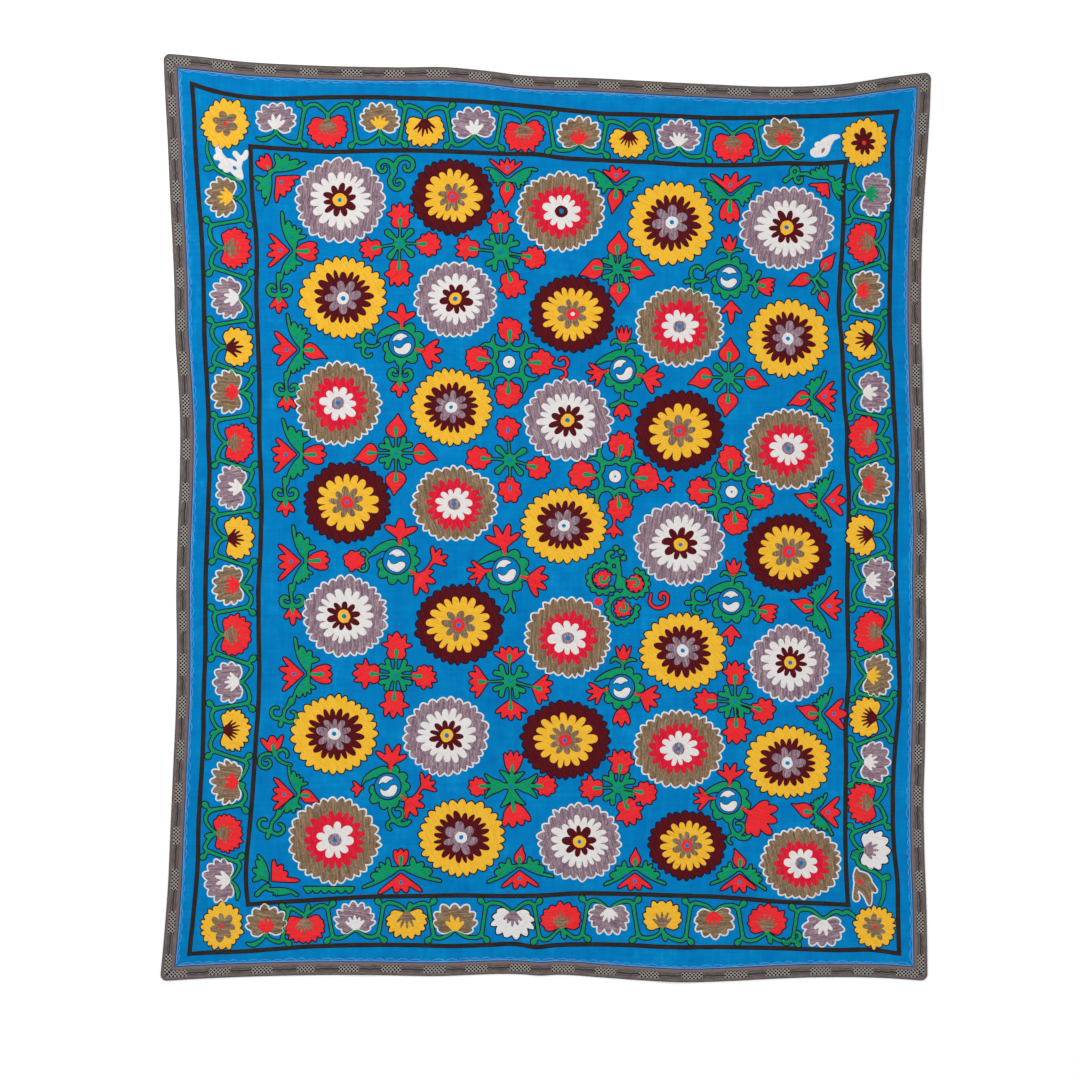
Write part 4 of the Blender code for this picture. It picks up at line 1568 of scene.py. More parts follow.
def wreath_south(motif, kind):
    """What hangs below: horns, forks, an arrow, a cup or a scroll."""
    if kind in ("horns", "fork_cup"):
        motif.stem([(0, -18), (0, -26), (0, -31)], (5, 2.8, 3.4))
        if kind == "horns":
            horns(motif, (0, -34), 180)
        else:
            motif.stem([(0, -30), (6, -33), (13, -34)], (3.4, 4, 5))
            motif.stem([(0, -30), (-6, -34), (-11, -36)], (3.4, 4, 4.6))
            motif.add("red", tulip(17, 18, tips=3, flare=0.44, outer=0.8, valley=0.6), (0, -33.5), 180)
    elif kind == "arrow":
        motif.add("red", fan((17, 24, 18), 74, 11.5, 0.9), (2, -23.5), 180)
    elif kind == "fork":
        motif.stem([(5, -17), (5, -24), (6, -28)], (5, 3.2, 3.6))
        motif.stem([(6, -27), (4, -33), (1, -38)], (3.6, 4.8, 4))
        motif.stem([(6, -27), (8, -33), (9, -39)], (3.6, 4.6, 3))
    elif kind == "cup":
        motif.fit("red", tulip(20, 18, tips=3, flare=0.44), (1, -21), 180)
    elif kind == "scroll":
        motif.stem([(3, -17), (2, -25), (6, -33), (12, -38)], (5, 3.2, 4.4, 4.4))
        motif.add("green", curl((7, -34), (10, -26.5), 230, 3.8, (3.4, 3.8, 3.6, 3.0)))
        motif.add("green", curl((9, -36), (4, -40), 215, 3.6, (3.4, 3.6, 3.4, 2.8)))
        motif.stem([(10, -37), (17, -38), (22, -35)], (4.4, 5.2, 4.0))


def wreath_eye(x, y, size):
    """The dark line inside the ring, and the two commas."""
    ring = place(polar(np.arange(0, 360, 12.0), np.full(30, 13.3)), (x, y), 0, size)
    cord(DARK, ring, 2.6)
    commas = Motif((x, y), RNG.uniform(-20, 20), size * 1.06, cord_width=1.9)
    for points in COMMAS:
        commas.add(WHITE, smooth_line(points, 4, closed=True))
    commas.sew()


def wreath(x, y, size, north, west, east, south):
    """A green ring with two white commas in it, and figures that grow on its four sides."""
    motif = Motif((x, y), RNG.uniform(-5, 5), size)
    wreath_ring(motif, west)
    wreath_north(motif, north)
    wreath_west(motif, west)
    wreath_east(motif, east)
    wreath_south(motif, south)
    motif.sew()
    wreath_eye(x, y, size)


def top_left_figure(motif):
    """Two wings and a fan in the field's top left corner."""
    motif.add("red", tulip(17, 16, tips=3, flare=0.42, outer=0.92, valley=0.72, fullness=0.8), (-0.5, 2), 38)
    motif.stem([(-2, 3), (-4.5, 6.5)], (2.4, 1.6), level=1)
    for own, side in (((36, 9), 1), ((-5, -34), -1)):
        shape, (eye, turn) = wing(own, 0.6, 0.18, side=side, reach=1.2)
        motif.add("green", shape)
        motif.eye(eye, turn)
    motif.add("green", oval(7, 6), (0, 0), 45)
    motif.add("red", fan((24, 20.5, 22, 21, 27), 86, 17.0, 0.8), (5.0, -4.5), -135)
    motif.eye((10.5, -10.5), 90, 5, 4)


def top_right_figure(motif):
    """Two wings, a curled stem and a fan in the top right corner."""
    shape, (eye, turn) = wing((-28, 4.4), 0.5, 0.2, 4, 6, -1, 1.15)
    motif.add("green", shape, (2, 1.5))
    motif.eye(eye + (2, 1.5), turn)
    motif.stem([(-21, 6), (-30, 5.8), (-37, 4), (-44, -0.8)], (4, 3, 3.6, 5))
    motif.add("green", curl((-37, 5), (-33.6, 8.8), -250, 2.8, (3.2, 3.8, 3.8, 3.0)))
    motif.add("green", curl((-33.5, 4), (-29.8, 0.8), 260, 2.6, (3.0, 3.6, 3.6, 3.0)))
    shape, _ = wing((7.3, -21), 0.4, 0.24, 4, 12, 1, 1.5)
    motif.add("green", shape, (2.6, 0.2))
    motif.add("green", oval(6.5, 5.5), (2.6, 0.8))
    motif.add("red", fan((16, 14.5, 15, 19), 82, 11.5, 0.8), (-0.5, -3), 138)


def bottom_left_figure(motif):
    """Two wings, a short stem and a fan in the bottom left corner."""
    for own, at, build in (
        ((-10.6, 28), (1, 2.6), (0.5, 0.26, 3, 0, 1, 1.3)),
        ((33, -7.3), (-1.7, -3.6), (0.7, 0.24, 4, 16, -1, 0.5)),
    ):
        shape, (eye, turn) = wing(own, *build)
        motif.add("green", shape, at)
        motif.eye(eye + at, turn)
    motif.stem([(0, -1), (-6, -5), (-11, -10)], (5, 4, 5))
    motif.add("red", fan((23, 19.5, 20, 27), 80, 15.5, 0.8), (3.4, 3), -47)


def comb(motif):
    """A green bar with teeth below, by the bottom left corner."""
    low = np.linspace(24.5, -24.5, 13)
    depths = np.where(np.arange(13) % 2 == 0, 0.2, -3.8)
    run = finger_run(np.column_stack([low, depths]), 0.8)
    motif.add("green", np.vstack([[(-25.5, 3.2), (25.5, 3.2), (26, 0.5)], run, [(-26, 0.5)]]))


def three_curls(motif):
    """Three tight curls about an eye, in the top row."""
    curls = (((-0.5, 2), (-10, 3), 400), ((1, 2), (13, 4.5), -400), ((0, -3), (4.7, -11.8), 400))
    for start, centre, sweep in curls:
        motif.add("green", curl(start, centre, sweep, 1.7, (4.6, 5.0, 4.6, 4.2, 3.0)))
    motif.add("green", oval(8, 7))
    motif.eye((0, -1), 90, 4.8, 3.4)


def red_branch(motif):
    """A branch with three red drops, near the right edge."""
    motif.stem([(-3, 3), (3, 10), (8, 17)], (3, 3, 3))
    motif.stem([(-4, 4), (2, -6), (6, -13)], (3, 3, 3))
    motif.stem([(-4, 4), (-11, 5)], (3, 2.6))
    motif.stem([(0, 6), (5, 1), (8, -2)], (3, 5, 6))
    motif.stem([(0, -4), (-4, -10)], (3, 4))
    motif.add("red", drop(23, 12, 3), (5, 12), -30)
    motif.add("red", drop(24, 13, -6), (-6, 5), 96)
    motif.add("red", drop(21, 11, -2), (5, -8), 190)
    for at, turn in (((8, 17), -30), ((-9, 5), 90), ((6, -13), 190)):
        motif.add("green", oval(8, 2.8), at, turn + 90, level=1)


def leafy_cross(motif):
    """A green cross with leaves at its foot ends, and four red heads."""
    arms = ((-4, 12, 25, 19), (-90, 23, 24, 21), (186, 17, 26, 28), (90, 23, 21, 21))
    for turn, distance, length, width in arms:
        path = [(0.5, distance * 0.3), (3, distance * 0.58), (5.5, distance * 0.85),
                (12, distance * 1.04 + 2)]
        for shape in both_sides(stroke(path, (4.4, 6.4, 5.4, 1.6))):
            motif.add("green", shape, turn=turn)
        motif.stem([(0, 0), (0, distance * 0.6), (0, distance + 2)], (6.4, 5.6, 4), turn=turn)
        kind = tulip(length, width, tips=4, flare=0.5, outer=0.8, valley=0.7, fullness=0.8)
        if abs(turn) == 90:
            kind = head(length, width, lobes=7)
        foot = moved([(0, distance)], turn=turn)[0]
        motif.add("red", kind, foot, turn + RNG.uniform(-6, 6))
        motif.stem([(0, -2), (0, 4), (0, 9)], (3.2, 4.6, 2.4), foot, turn, level=1)
    motif.eye((0, 0), 0, 5, 4)


def three_rings(motif):
    """Three scalloped rings with red heads, right of the middle."""
    for at, reach, start in (((-15.4, 6.3), 14.0, 20), ((17, 1.5), 12.6, 150), ((4.4, -23.5), 14.8, 70)):
        turns = np.linspace(start, start + 306, 2 * 11 + 1)
        reaches = np.full(23, reach)
        reaches[1::2] = reach + 3.4
        ring = finger_run(polar(turns[::-1], reaches), 0.9)
        inner = polar(np.linspace(start, start + 300, 30), np.full(30, reach - 3.2))
        motif.add("green", np.vstack([ring, inner]), at)
        motif.add("red", head(19, 19, lobes=8, gap=40), moved([(0, -9.5)], at, start - 100)[0], start - 100)
        motif.add("green", curl((6, -1), (0.5, 0), -260, 2.2, (3.0, 3.4, 3.2, 2.4)), at, start, level=1)
    motif.stem([(0, -2), (1, 12), (-1, 26)], (6, 5, 5))
    motif.add("green", curl((0, 26), (-6, 29), -260, 3.4, (4.4, 5.4, 5.4, 4.0)))
    for at in ((3, 33), (5.5, 27), (-2, 37)):
        motif.add("green", oval(6.5, 6), at)
    motif.add("green", oval(9, 8), (1, 0))
    motif.add("red", oval(7, 7), (-20, -17), outline="red")


def red_scroll(motif):
    """A red scroll beside the three rings."""
    motif.add("red", stroke([(-9, 5), (-10, -4), (-3, -9), (6, -6), (8, 2)], (3, 3.4, 3.8, 4.2, 3.4)))
    motif.add("red", curl((8, 2), (3, 2), 250, 2.6, (3.6, 4, 3.8, 2.8)))


def side_flower(motif):
    """A red tulip with curls, near the left edge."""
    motif.add("red", tulip(17, 21, tips=3, flare=0.52, outer=0.95, valley=0.6, fullness=0.8), turn=8)
    motif.stem([(0, -3), (0, 6)], (3.2, 4.4), turn=8, level=1)
    motif.stem([(0, 1), (4, -7), (10, -11), (17, -13)], (4.6, 3.4, 3.0, 3.6))
    motif.add("green", curl((-3, -2), (-7.6, -10.5), 430, 2.4, (3.4, 3.6, 3.4, 3.2, 2.6)))
    motif.add("green", curl((3, -1), (9, -3), -190, 4.4, (3.2, 3.6, 3.4, 2.8)))


# The figures of the field that occur once, and their places
ODD_MOTIFS = (
    (top_left_figure, (271, 172)),
    (top_right_figure, (829, 180)),
    (bottom_left_figure, (268, 884.5)),
    (comb, (329, 889.5)),
    (three_curls, (393.6, 171)),
    (red_branch, (817, 283)),
    (leafy_cross, (511, 786)),
    (three_rings, (618, 585)),
    (red_scroll, (660, 599)),
    (side_flower, (274, 752)),
)


def odd_motifs():
    """Sews the figures of the field that occur once."""
    for figure, at in ODD_MOTIFS:
        motif = Motif(at)
        figure(motif)
        motif.sew()


def make_fillers():
    """Everything between the rosettes, and the odd pieces of the border."""
    for side, row in SPRIGS.items():
        for entry in row:
            sprig(*entry, WING_BUILD[side], HEAD_SIZE[side])
    for entry in CROSSES:
        cross(*entry)
    for entry in RING_FLOWERS:
        ring_flower(*entry)
    for entry in WREATHS:
        wreath(*entry)
    odd_motifs()
    for entry in CORNER_FLOWERS:
        corner_flower(*entry)
    border_oddments()


# Materials


class Nodes:
    """Short calls for building a material's nodes."""

    def __init__(self, name):
        self.material = bpy.data.materials.new(name)
        self.material.use_nodes = True
        self.tree = self.material.node_tree
        self.shader = self.tree.nodes["Principled BSDF"]

    def new(self, kind, **settings):
        node = self.tree.nodes.new("ShaderNode" + kind)
        for key, value in settings.items():
            setattr(node, key, value)
        return node

    def put(self, value, socket):
        """Links an output to the socket, or sets a plain value there."""
        if hasattr(value, "is_output"):
            self.tree.links.new(value, socket)
        else:
            socket.default_value = value

    def math(self, operation, a, b=0.0, clamp=False):
        node = self.new("Math", operation=operation, use_clamp=clamp)
        for value, socket in zip((a, b), node.inputs):
            self.put(value, socket)
        return node.outputs[0]

    def times(self, a, b, clamp=False):
        return self.math("MULTIPLY", a, b, clamp)

    def over(self, a, b):
        return self.math("DIVIDE", a, b)

    def plus(self, a, b):
        return self.math("ADD", a, b)

    def minus(self, a, b):
        return self.math("SUBTRACT", a, b)

    def larger(self, a, b):
        return self.math("MAXIMUM", a, b)

    def floor(self, a):
        return self.math("FLOOR", a)

    def part(self, a):
        return self.math("FRACT", a)

    def sine(self, a):
        return self.math("SINE", a)

    def size(self, a):
        return self.math("ABSOLUTE", a)

    def split(self, vector):
        node = self.new("SeparateXYZ")
        self.put(vector, node.inputs[0])
        return node.outputs

    def join(self, x, y):
        node = self.new("CombineXYZ")
        for value, socket in zip((x, y), node.inputs):
            self.put(value, socket)
        return node.outputs[0]

    def finish(self, roughness, shine):
        self.shader.inputs["Roughness"].default_value = roughness
        self.shader.inputs["Specular IOR Level"].default_value = shine
        return self.material

    def noise(self, vector, scale, detail=2.0, roughness=0.5):
        node = self.new("TexNoise")
        self.put(vector, node.inputs["Vector"])
        node.inputs["Scale"].default_value = scale
        node.inputs["Detail"].default_value = detail
        node.inputs["Roughness"].default_value = roughness
        return node.outputs["Fac"]

    def ramp(self, value, stops):
        """A colour from a value, by (place, colour) stops."""
        node = self.new("ValToRGB")
        self.put(value, node.inputs[0])
        ramp = node.color_ramp
        while len(ramp.elements) < len(stops):
            ramp.elements.new(0.5)
        for element, (position, colour) in zip(ramp.elements, stops):
            element.position = position
            element.color = (*colour, 1.0)
        return node.outputs[0]

    def mix(self, share, a, b):
        node = self.new("Mix", data_type="RGBA")
        self.put(share, node.inputs["Factor"])
        for value, socket in zip((a, b), (node.inputs[6], node.inputs[7])):
            self.put(value if hasattr(value, "is_output") else (*value, 1.0), socket)
        return node.outputs[2]

    def bump(self, height, distance, strength=1.0, normal=None):
        node = self.new("Bump")
        self.put(height, node.inputs["Height"])
        node.inputs["Distance"].default_value = distance
        node.inputs["Strength"].default_value = strength
        if normal is not None:
            self.put(normal, node.inputs["Normal"])
        return node.outputs[0]


def linear(red, green, blue):
    """Screen colour, 0 to 255, to linear light."""
    values = [channel / 255 for channel in (red, green, blue)]
    return tuple(v / 12.92 if v <= 0.04045 else ((v + 0.055) / 1.055) ** 2.4 for v in values)


# Screen colours of each thread from dark to light, and how much its rows differ
THREADS = {
    "red": ((232, 30, 42), (250, 44, 50), (255, 62, 62)),
    "crimson": ((205, 8, 45), (230, 22, 55), (250, 50, 70)),
    "yellow": ((244, 176, 36), (255, 197, 52), (255, 210, 78)),
    "maroon": ((66, 2, 12), (90, 6, 18), (106, 14, 26)),
    "white": ((226, 222, 220), (240, 237, 235), (250, 248, 246)),
    "mauve": ((96, 70, 92), (150, 124, 138), (206, 186, 186)),
    "taupe": ((96, 74, 56), (140, 114, 88), (188, 160, 128)),
    "green": ((0, 140, 90), (0, 158, 101), (10, 170, 112)),
    "blue": ((0, 110, 180), (4, 128, 196), (24, 142, 206)),
    "dark": ((18, 12, 40), (26, 19, 52), (40, 33, 66)),
    "bands": ((30, 27, 28), (42, 38, 38), (58, 52, 50)),
    "lilac": ((96, 146, 212), (124, 166, 222), (156, 188, 230)),
}
# Mm across and along one chain stitch
STITCH_WIDTH = 1.9
STITCH_LENGTH = 3.4


def thread_material(name):
    """Rows of chain stitch: u is the distance across the rows, and v along them, in mm."""
    n = Nodes("thread_" + name)
    dark, middle, light = [linear(*colour) for colour in THREADS[name]]
    uv = n.new("UVMap", uv_map="stitch").outputs[0]
    u, v, _ = n.split(uv)
    row = n.floor(n.over(u, STITCH_WIDTH))
    across = n.minus(n.part(n.over(u, STITCH_WIDTH)), 0.5)
    away = n.size(across)
    white = n.new("TexWhiteNoise", noise_dimensions="1D")
    n.put(row, white.inputs["W"])
    travel = n.plus(n.over(v, STITCH_LENGTH), white.outputs[0])
    link = n.part(n.plus(travel, n.times(away, 0.9)))
    ridge = n.minus(1.0, n.times(n.times(away, away), 3.6))
    bead = n.sine(n.times(link, math.pi))
    height = n.times(ridge, n.plus(0.55, n.times(bead, 0.45)))
    along = n.join(n.over(u, 4.4), n.over(v, 44.0))
    streak = n.noise(along, 1.0, 3.0, 0.65)
    grain = n.noise(n.join(n.over(u, 2.4), n.over(v, 7.0)), 1.0, 1.0)
    shade = n.plus(n.times(streak, 0.68), n.times(grain, 0.32))
    colour = n.ramp(shade, ((0.34, dark), (0.5, middle), (0.68, light)))
    # Painted shade: where the stitch height is low, in the grooves between rows and between links, the colour
    # is darkened toward 0.45 of the thread's dark colour.
    painted_groove_shade = n.times(n.minus(1.0, height), 0.34, clamp=True)
    n.put(n.mix(painted_groove_shade, colour, tuple(0.45 * c for c in dark)), n.shader.inputs["Base Color"])
    n.put(n.bump(height, 0.0006, 0.7), n.shader.inputs["Normal"])
    return n.finish(0.62, 0.12)


# Metres between the cloth's yarns, across and along
YARN_STEPS = (0.0011, 0.0012)


def cotton_material():
    """Plain woven cotton, faintly crumpled, its colour mottled: partly tone that varies at random, partly
    painted shade of the puckers.
    """
    n = Nodes("ground_cotton")
    place_at = n.new("TexCoord").outputs["Object"]
    x, y, _ = n.split(place_at)
    # The broad and blotchy mottling of the colour is partly the cotton's own varying tone and partly painted
    # shade of the puckers and crumples.
    broad_mottle_and_shade = n.noise(place_at, 5.0, 3.0, 0.55)
    blotch_mottle_and_shade = n.noise(place_at, 26.0, 3.0, 0.6)
    upright = n.noise(n.join(n.times(x, 90.0), n.times(y, 7.0)), 1.0, 2.0)
    level = n.noise(n.join(n.times(x, 6.0), n.times(y, 120.0)), 1.0, 2.0)
    fine = n.noise(place_at, 420.0, 1.0)
    parts = ((broad_mottle_and_shade, 0.24), (blotch_mottle_and_shade, 0.34), (upright, 0.17), (level, 0.13), (fine, 0.12))
    shade = 0.0
    for part, share in parts:
        shade = n.plus(shade, n.times(part, share))
    stops = ((0.36, linear(0, 110, 177)), (0.47, linear(0, 121, 187)), (0.54, linear(0, 128, 193)),
             (0.64, linear(14, 142, 204)))
    n.put(n.ramp(shade, stops), n.shader.inputs["Base Color"])
    warp = n.sine(n.times(x, 2 * math.pi / YARN_STEPS[0]))
    weft = n.sine(n.times(y, 2 * math.pi / YARN_STEPS[1]))
    weave = n.times(warp, weft)
    crumple = n.noise(place_at, 55.0, 3.0, 0.6)
    soft = n.bump(crumple, 0.0016, 0.5)
    n.put(n.bump(weave, 0.0001, 0.35, soft), n.shader.inputs["Normal"])
    return n.finish(0.9, 0.06)


# The tape's woven figure, in mm: one repeat along it, its lattice part, and the lattice's cells
TAPE_REPEAT = 104.0
LATTICE_LENGTH = 52.0
CELL = 9.0
# Where its figure starts and ends in from the fold, its wavy lines' places and half widths, and its ribs
TAPE_MIDDLE = (7.0, 25.0)
WAVY_LINES = ((10.6, 1.2), (15.8, 2.6), (21.4, 1.2))
RIB_STEPS = (1.3, 1.6)


def tape_material():
    """Woven tape: u is the distance in from the outer fold, and v the distance along, in mm."""
    n = Nodes("woven_tape")
    uv = n.new("UVMap", uv_map="stitch").outputs[0]
    u, v, _ = n.split(uv)
    sway = n.noise(n.join(0.0, n.over(v, 60.0)), 1.0, 1.0)
    place_on = n.plus(n.over(v, TAPE_REPEAT), n.times(sway, 0.25))
    phase = n.part(place_on)
    half = LATTICE_LENGTH / TAPE_REPEAT / 2
    from_middle = n.size(n.minus(phase, 0.5))
    in_lattice = n.times(n.minus(half, from_middle), 60.0, clamp=True)
    low = n.times(n.minus(u, TAPE_MIDDLE[0]), 0.7, clamp=True)
    high = n.times(n.minus(TAPE_MIDDLE[1], u), 0.7, clamp=True)
    in_middle = n.times(low, high)
    streak = n.noise(n.join(n.over(u, 1.7), n.over(v, 22.0)), 1.0, 2.0)
    ground = n.ramp(streak, ((0.3, linear(84, 78, 76)), (0.5, linear(108, 98, 95)),
                             (0.7, linear(128, 117, 113))))
    pinkish = n.times(n.minus(u, 26.0), 0.5, clamp=True)
    ground = n.mix(n.times(pinkish, 0.75), ground, linear(132, 108, 110))
    fold = n.times(n.minus(3.6, u), 0.4, clamp=True)
    ground = n.mix(n.times(fold, 0.8), ground, linear(70, 67, 64))
    waver = n.noise(n.join(3.7, n.over(v, 8.0)), 1.0, 2.0)
    swing = n.times(n.minus(waver, 0.5), 9.0)
    dark_lines = 0.0
    for middle, width in WAVY_LINES:
        off = n.size(n.minus(n.plus(u, swing), middle))
        line = n.times(n.minus(width, off), 0.9, clamp=True)
        dark_lines = n.larger(dark_lines, line)
    wavy = n.mix(n.times(dark_lines, 0.85), ground, linear(38, 38, 40))
    rising = n.part(n.over(n.plus(u, v), CELL))
    falling = n.part(n.over(n.minus(u, v), CELL))
    line_a = n.times(n.minus(0.26, rising), 14.0, clamp=True)
    line_b = n.times(n.minus(0.26, falling), 14.0, clamp=True)
    lattice = n.larger(line_a, line_b)
    lattice_colour = n.mix(lattice, linear(34, 31, 32), linear(178, 172, 164))
    figure = n.mix(in_lattice, wavy, lattice_colour)
    n.put(n.mix(in_middle, ground, figure), n.shader.inputs["Base Color"])
    rib = n.sine(n.times(v, 2 * math.pi / RIB_STEPS[0]))
    cord_rib = n.sine(n.times(u, 2 * math.pi / RIB_STEPS[1]))
    weave = n.plus(n.times(rib, 0.6), n.times(cord_rib, 0.5))
    n.put(n.bump(weave, 0.00025, 0.5), n.shader.inputs["Normal"])
    return n.finish(0.85, 0.12)


# Cloth and tape

# Mm between the cloth's inner lines, its lines in the hem, and mm between the tape's lines
CLOTH_STEP = 12.5
HEM_LINES = (CLOTH_INSET, 10.0, 20.0, TAPE_FACE_WIDTH, 42.0, 53.0)
TAPE_STEP = 9.0
# Where the tape's lines near a corner stand, as shares of the way to the hem's end
CORNER_SHARES = (0.0, 0.05, 0.1, 0.16, 0.23, 0.32, 0.45, 0.7)
FOLD_STEPS = 8


def ruled(total, near, step):
    """Lines across a length: near ones at both ends, and even ones between."""
    inner = np.linspace(HEM_END, total - HEM_END, int((total - 2 * HEM_END) / step))
    return np.concatenate([near, inner, [total - d for d in reversed(near)]])


def length_of(side):
    """The length in mm of a side."""
    return WIDTH if side in ("top", "bottom") else LENGTH


def facing_up(side, faces):
    """The faces turned over on the sides whose lines run the other way."""
    return [tuple(reversed(face)) for face in faces] if side in ("top", "right") else faces


def make_cloth(material):
    """The cloth: its face puckers, and its back follows the swells."""
    lines_x = ruled(WIDTH, HEM_LINES, CLOTH_STEP)
    lines_y = ruled(LENGTH, HEM_LINES, CLOTH_STEP)
    from_left, from_bottom = np.meshgrid(lines_x, lines_y)
    plan = plan_points(from_left, from_bottom).reshape(-1, 2)
    inward = inward_of(from_left, from_bottom).ravel()
    rise = lift(from_left, from_bottom).ravel() + hem_rise(inward)
    top = np.column_stack([plan, rise + CLOTH_THICK + hem_puckers(plan, inward)])
    bottom = np.column_stack([plan, rise])
    columns, rows = len(lines_x), len(lines_y)
    count = columns * rows
    faces = grid_faces(columns, rows)
    faces += [tuple(reversed(face)) for face in grid_faces(columns, rows, first=count)]
    rim = list(range(columns))
    rim += [row * columns + columns - 1 for row in range(1, rows)]
    rim += [(rows - 1) * columns + column for column in range(columns - 2, -1, -1)]
    rim += [row * columns for row in range(rows - 2, 0, -1)]
    for here, after in zip(rim, rim[1:] + rim[:1]):
        faces.append((here + count, after + count, after, here))
    points = np.vstack([top, bottom])
    uvs = np.vstack([plan, plan])
    return new_piece("embroidered_ground", points, faces, uvs, material)


def tape_line():
    """Middle of the tape across its width: inward, height, distance from the fold, normal."""
    low = TAPE_THICK / 2
    high = TAPE_THICK + GAP + CLOTH_THICK + GAP + TAPE_THICK / 2
    radius = (high - low) / 2
    line = [(d, high, d, (0, 1)) for d in np.linspace(TAPE_FACE_WIDTH, low + radius, 6)]
    for step in range(1, FOLD_STEPS + 1):
        angle = math.pi * step / FOLD_STEPS
        inward = low + radius - radius * math.sin(angle)
        height = low + radius + radius * math.cos(angle)
        travel = low + radius - radius * angle
        line.append((inward, height, travel, (-math.sin(angle), math.cos(angle))))
    line += [(d, low, -d, (0, -1)) for d in np.linspace(low + radius, TAPE_BACK_WIDTH, 3)[1:]]
    return line


def make_tape(side, material):
    """One side's folded tape, thickened, from mitre to mitre."""
    line = tape_line()
    rings = []
    for offset in (0.5, -0.5):
        for inward, height, travel, (side_normal, up_normal) in line:
            inward_here = inward + offset * TAPE_THICK * side_normal
            height_here = height + offset * TAPE_THICK * up_normal
            start = max(inward, inward_here) + MITRE_GAP + abs(side_normal) * TAPE_THICK / 2
            near = [start + share * (HEM_END - start) for share in CORNER_SHARES]
            along = ruled(length_of(side), near, TAPE_STEP)
            distances = side_distances(side, along, np.full(len(along), inward_here))
            plan = plan_points(*distances)
            rise = height_here + lift(*distances)
            rings.append(np.column_stack([plan, rise, np.full(len(along), travel), along]))
    rows = len(line)
    columns = len(along)
    last = 2 * rows * columns
    faces = [tuple(i % last for i in face) for face in grid_faces(columns, 2 * rows + 1)]
    points, uvs = np.split(np.vstack(rings[:rows] + rings[:rows - 1:-1]), [3], axis=1)
    for column in (0, columns - 1):
        for row in range(rows - 1):
            outer_here = row * columns + column
            outer_next = outer_here + columns
            inner_here = (2 * rows - 1 - row) * columns + column
            inner_next = inner_here - columns
            quad = (outer_here, outer_next, inner_next, inner_here)
            faces.append(quad if column == 0 else tuple(reversed(quad)))
    faces = facing_up(side, faces)
    piece = new_piece("woven_edge_" + side, points, faces, uvs, material)
    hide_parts("tape_" + side)
    return piece


# The threads beside the tape, in mm: how deep their feet sink, and along a side their first
# place and their step. The pale scallops start and end further in.
HEM_FOOT = -0.3
HEM_START = 30.0
HEM_STEP = 3.2
SCALLOPS_START = 44.0
SCALLOPS_END = 60


def hem_line(thread, side, along, inward, width, height):
    """A thread sewn beside the tape: distances in from the fold, width and height in mm."""
    kept = (along > inward + 1) & (along < length_of(side) - inward - 1)
    along, inward = along[kept], inward[kept]
    rows = []
    for share, rise in ((-0.5, HEM_FOOT), (0.0, height), (0.5, HEM_FOOT)):
        distance = inward + share * width
        distances = side_distances(side, along, distance)
        plan = plan_points(*distances)
        base = lift(*distances) + hem_rise(distance) + CLOTH_THICK
        rows.append(np.column_stack([plan, base + hem_puckers(plan, distance) + rise]))
    count = len(along)
    if count < 3:
        return
    uvs = np.column_stack([np.repeat((0.0, 0.5, 1.0), count) * width, np.tile(along, 3)])
    Threadwork.of(thread).put(np.vstack(rows), uvs, facing_up(side, grid_faces(count, 3)))


def make_hem_stitches():
    """The dark and pale lines along the tape, and the loose scallops of pale thread."""
    for side in ("top", "right", "bottom", "left"):
        along = np.arange(HEM_START, length_of(side) - HEM_START, HEM_STEP)
        waver = np.convolve(RNG.standard_normal(len(along) + 20), np.hanning(21) / 10, "same")[10:-10]
        hem_line(DARK, side, along, TAPE_FACE_WIDTH + 0.9 + 0.2 * waver, 1.7, 0.5)
        hem_line("lilac", side, along, TAPE_FACE_WIDTH + 3.4 + 0.5 * waver, 2.6, 0.4)
        start = SCALLOPS_START
        while start < length_of(side) - SCALLOPS_END:
            length = RNG.uniform(20, 34)
            shares = np.linspace(0, 1, 10)
            deep = RNG.uniform(2.5, 6.5)
            inward = TAPE_FACE_WIDTH + 4.6 + deep * np.sin(np.pi * shares)**0.8
            hem_line("lilac", side, start + shares * length, inward, 1.6, 0.4)
            start += length + RNG.uniform(-1.5, 2.5)


# Light, floor and camera

PHOTO_SIZE = 1080
FIELD = PHOTO_SIZE * PHOTO_STEP * MM
LENS = 85.0
SENSOR = 36.0
# Half the floor's width and how far it lies under the cloth, in m
FLOOR_REACH = 9
FLOOR_DROP = 0.0004
# Area lamps: name, place, size and power
LAMPS = (("key", (-2.6, 2.4, 4.2), 2.4, 150), ("fill", (2.8, -1.8, 4.6), 3.2, 60))


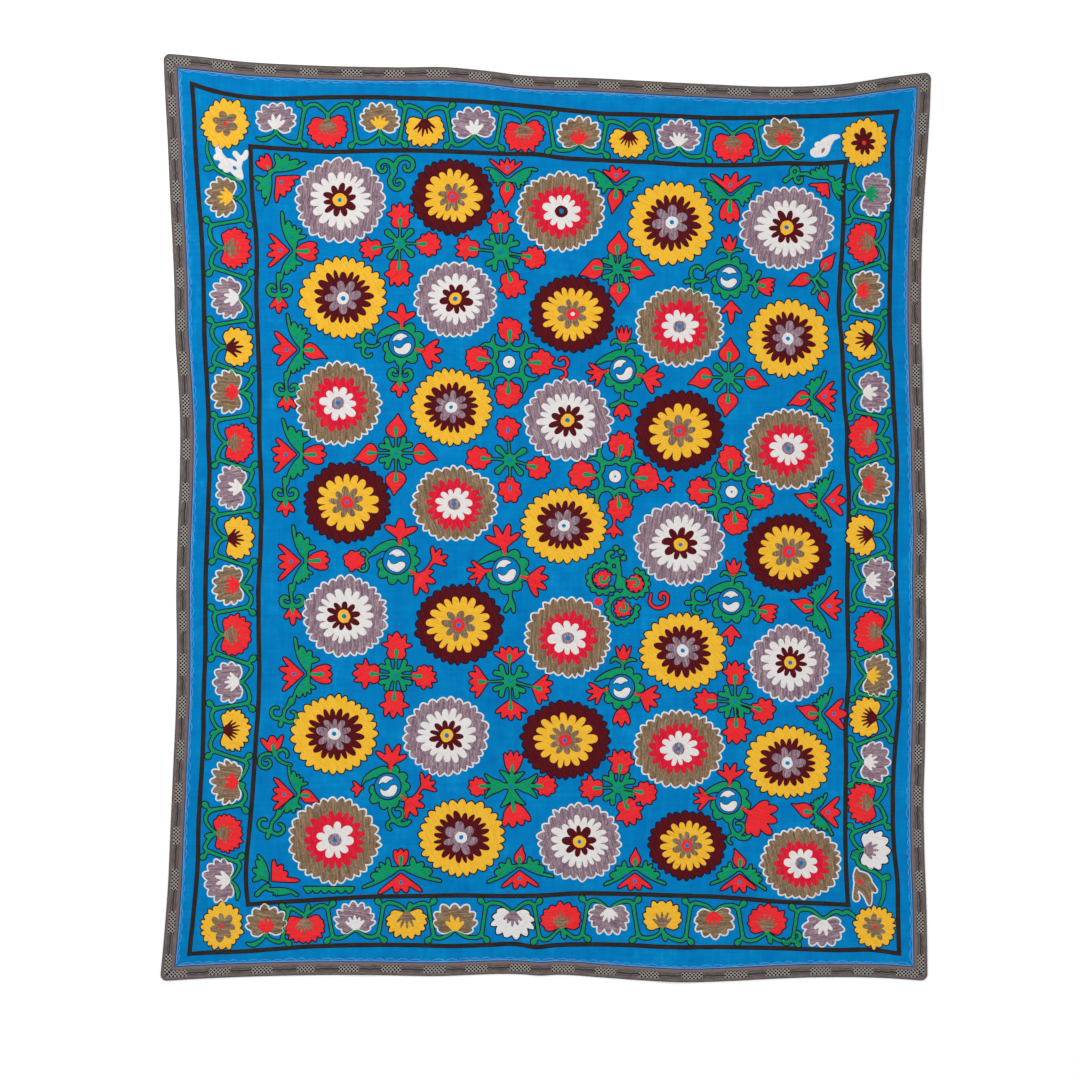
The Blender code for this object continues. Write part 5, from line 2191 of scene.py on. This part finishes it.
def make_floor():
    """A white floor under the cloth."""
    corners = [(x * FLOOR_REACH, y * FLOOR_REACH, 0) for x, y in ((-1, -1), (1, -1), (1, 1), (-1, 1))]
    mesh = bpy.data.meshes.new("floor")
    mesh.from_pydata(corners, [], [(0, 1, 2, 3)])
    floor = bpy.data.objects.new("floor", mesh)
    floor.location.z = -FLOOR_DROP
    bpy.context.scene.collection.objects.link(floor)
    n = Nodes("floor_white")
    n.shader.inputs["Base Color"].default_value = (0.97, 0.97, 0.97, 1)
    n.shader.inputs["Emission Color"].default_value = (1, 1, 1, 1)
    n.shader.inputs["Emission Strength"].default_value = 0.14
    mesh.materials.append(n.finish(0.9, 0.1))


def make_lights():
    """A white world, and two area lamps that face the middle."""
    world = bpy.data.worlds.new("studio")
    bpy.context.scene.world = world
    world.use_nodes = True
    world.node_tree.nodes["Background"].inputs[0].default_value = (1, 1, 1, 1)
    world.node_tree.nodes["Background"].inputs[1].default_value = 0.50
    for name, where, size, power in LAMPS:
        light = bpy.data.lights.new(name, "AREA")
        light.size = size
        light.energy = power
        lamp = bpy.data.objects.new(name, light)
        lamp.location = where
        lamp.rotation_euler = (-Vector(where)).to_track_quat("-Z", "Y").to_euler()
        bpy.context.scene.collection.objects.link(lamp)


def make_camera():
    """Straight above, over the photograph's middle."""
    camera_data = bpy.data.cameras.new("camera")
    camera_data.lens = LENS
    camera_data.sensor_width = SENSOR
    camera = bpy.data.objects.new("camera", camera_data)
    middle = to_plan([(PHOTO_SIZE / 2, PHOTO_SIZE / 2)])[0] * MM
    camera.location = (middle[0], middle[1], LENS / SENSOR * FIELD)
    bpy.context.scene.collection.objects.link(camera)
    bpy.context.scene.camera = camera
    view = bpy.context.scene.view_settings
    view.view_transform = "Standard"
    view.look = "None"


# The colours and slots of stitching that isn't in those named for its thread
COLOURS = {"dark_border": "dark", "dark_bands": "bands"}


def main():
    make_floor()
    make_lights()
    make_camera()
    cloth = make_cloth(cotton_material())
    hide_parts("ground_cloth")
    tape = tape_material()
    edging = [make_tape(side, tape) for side in ("top", "right", "bottom", "left")]
    make_hem_stitches()
    make_frame_lines()
    make_rosettes()
    for side in ("top", "left", "right", "bottom"):
        side_vine(side)
    make_fillers()
    for name, work in Threadwork.every.items():
        material = thread_material(COLOURS.get(name, name))
        points, uvs = np.vstack(work.points), np.vstack(work.uvs)
        new_piece("stitching_" + name, points, work.faces, uvs, material)


main()
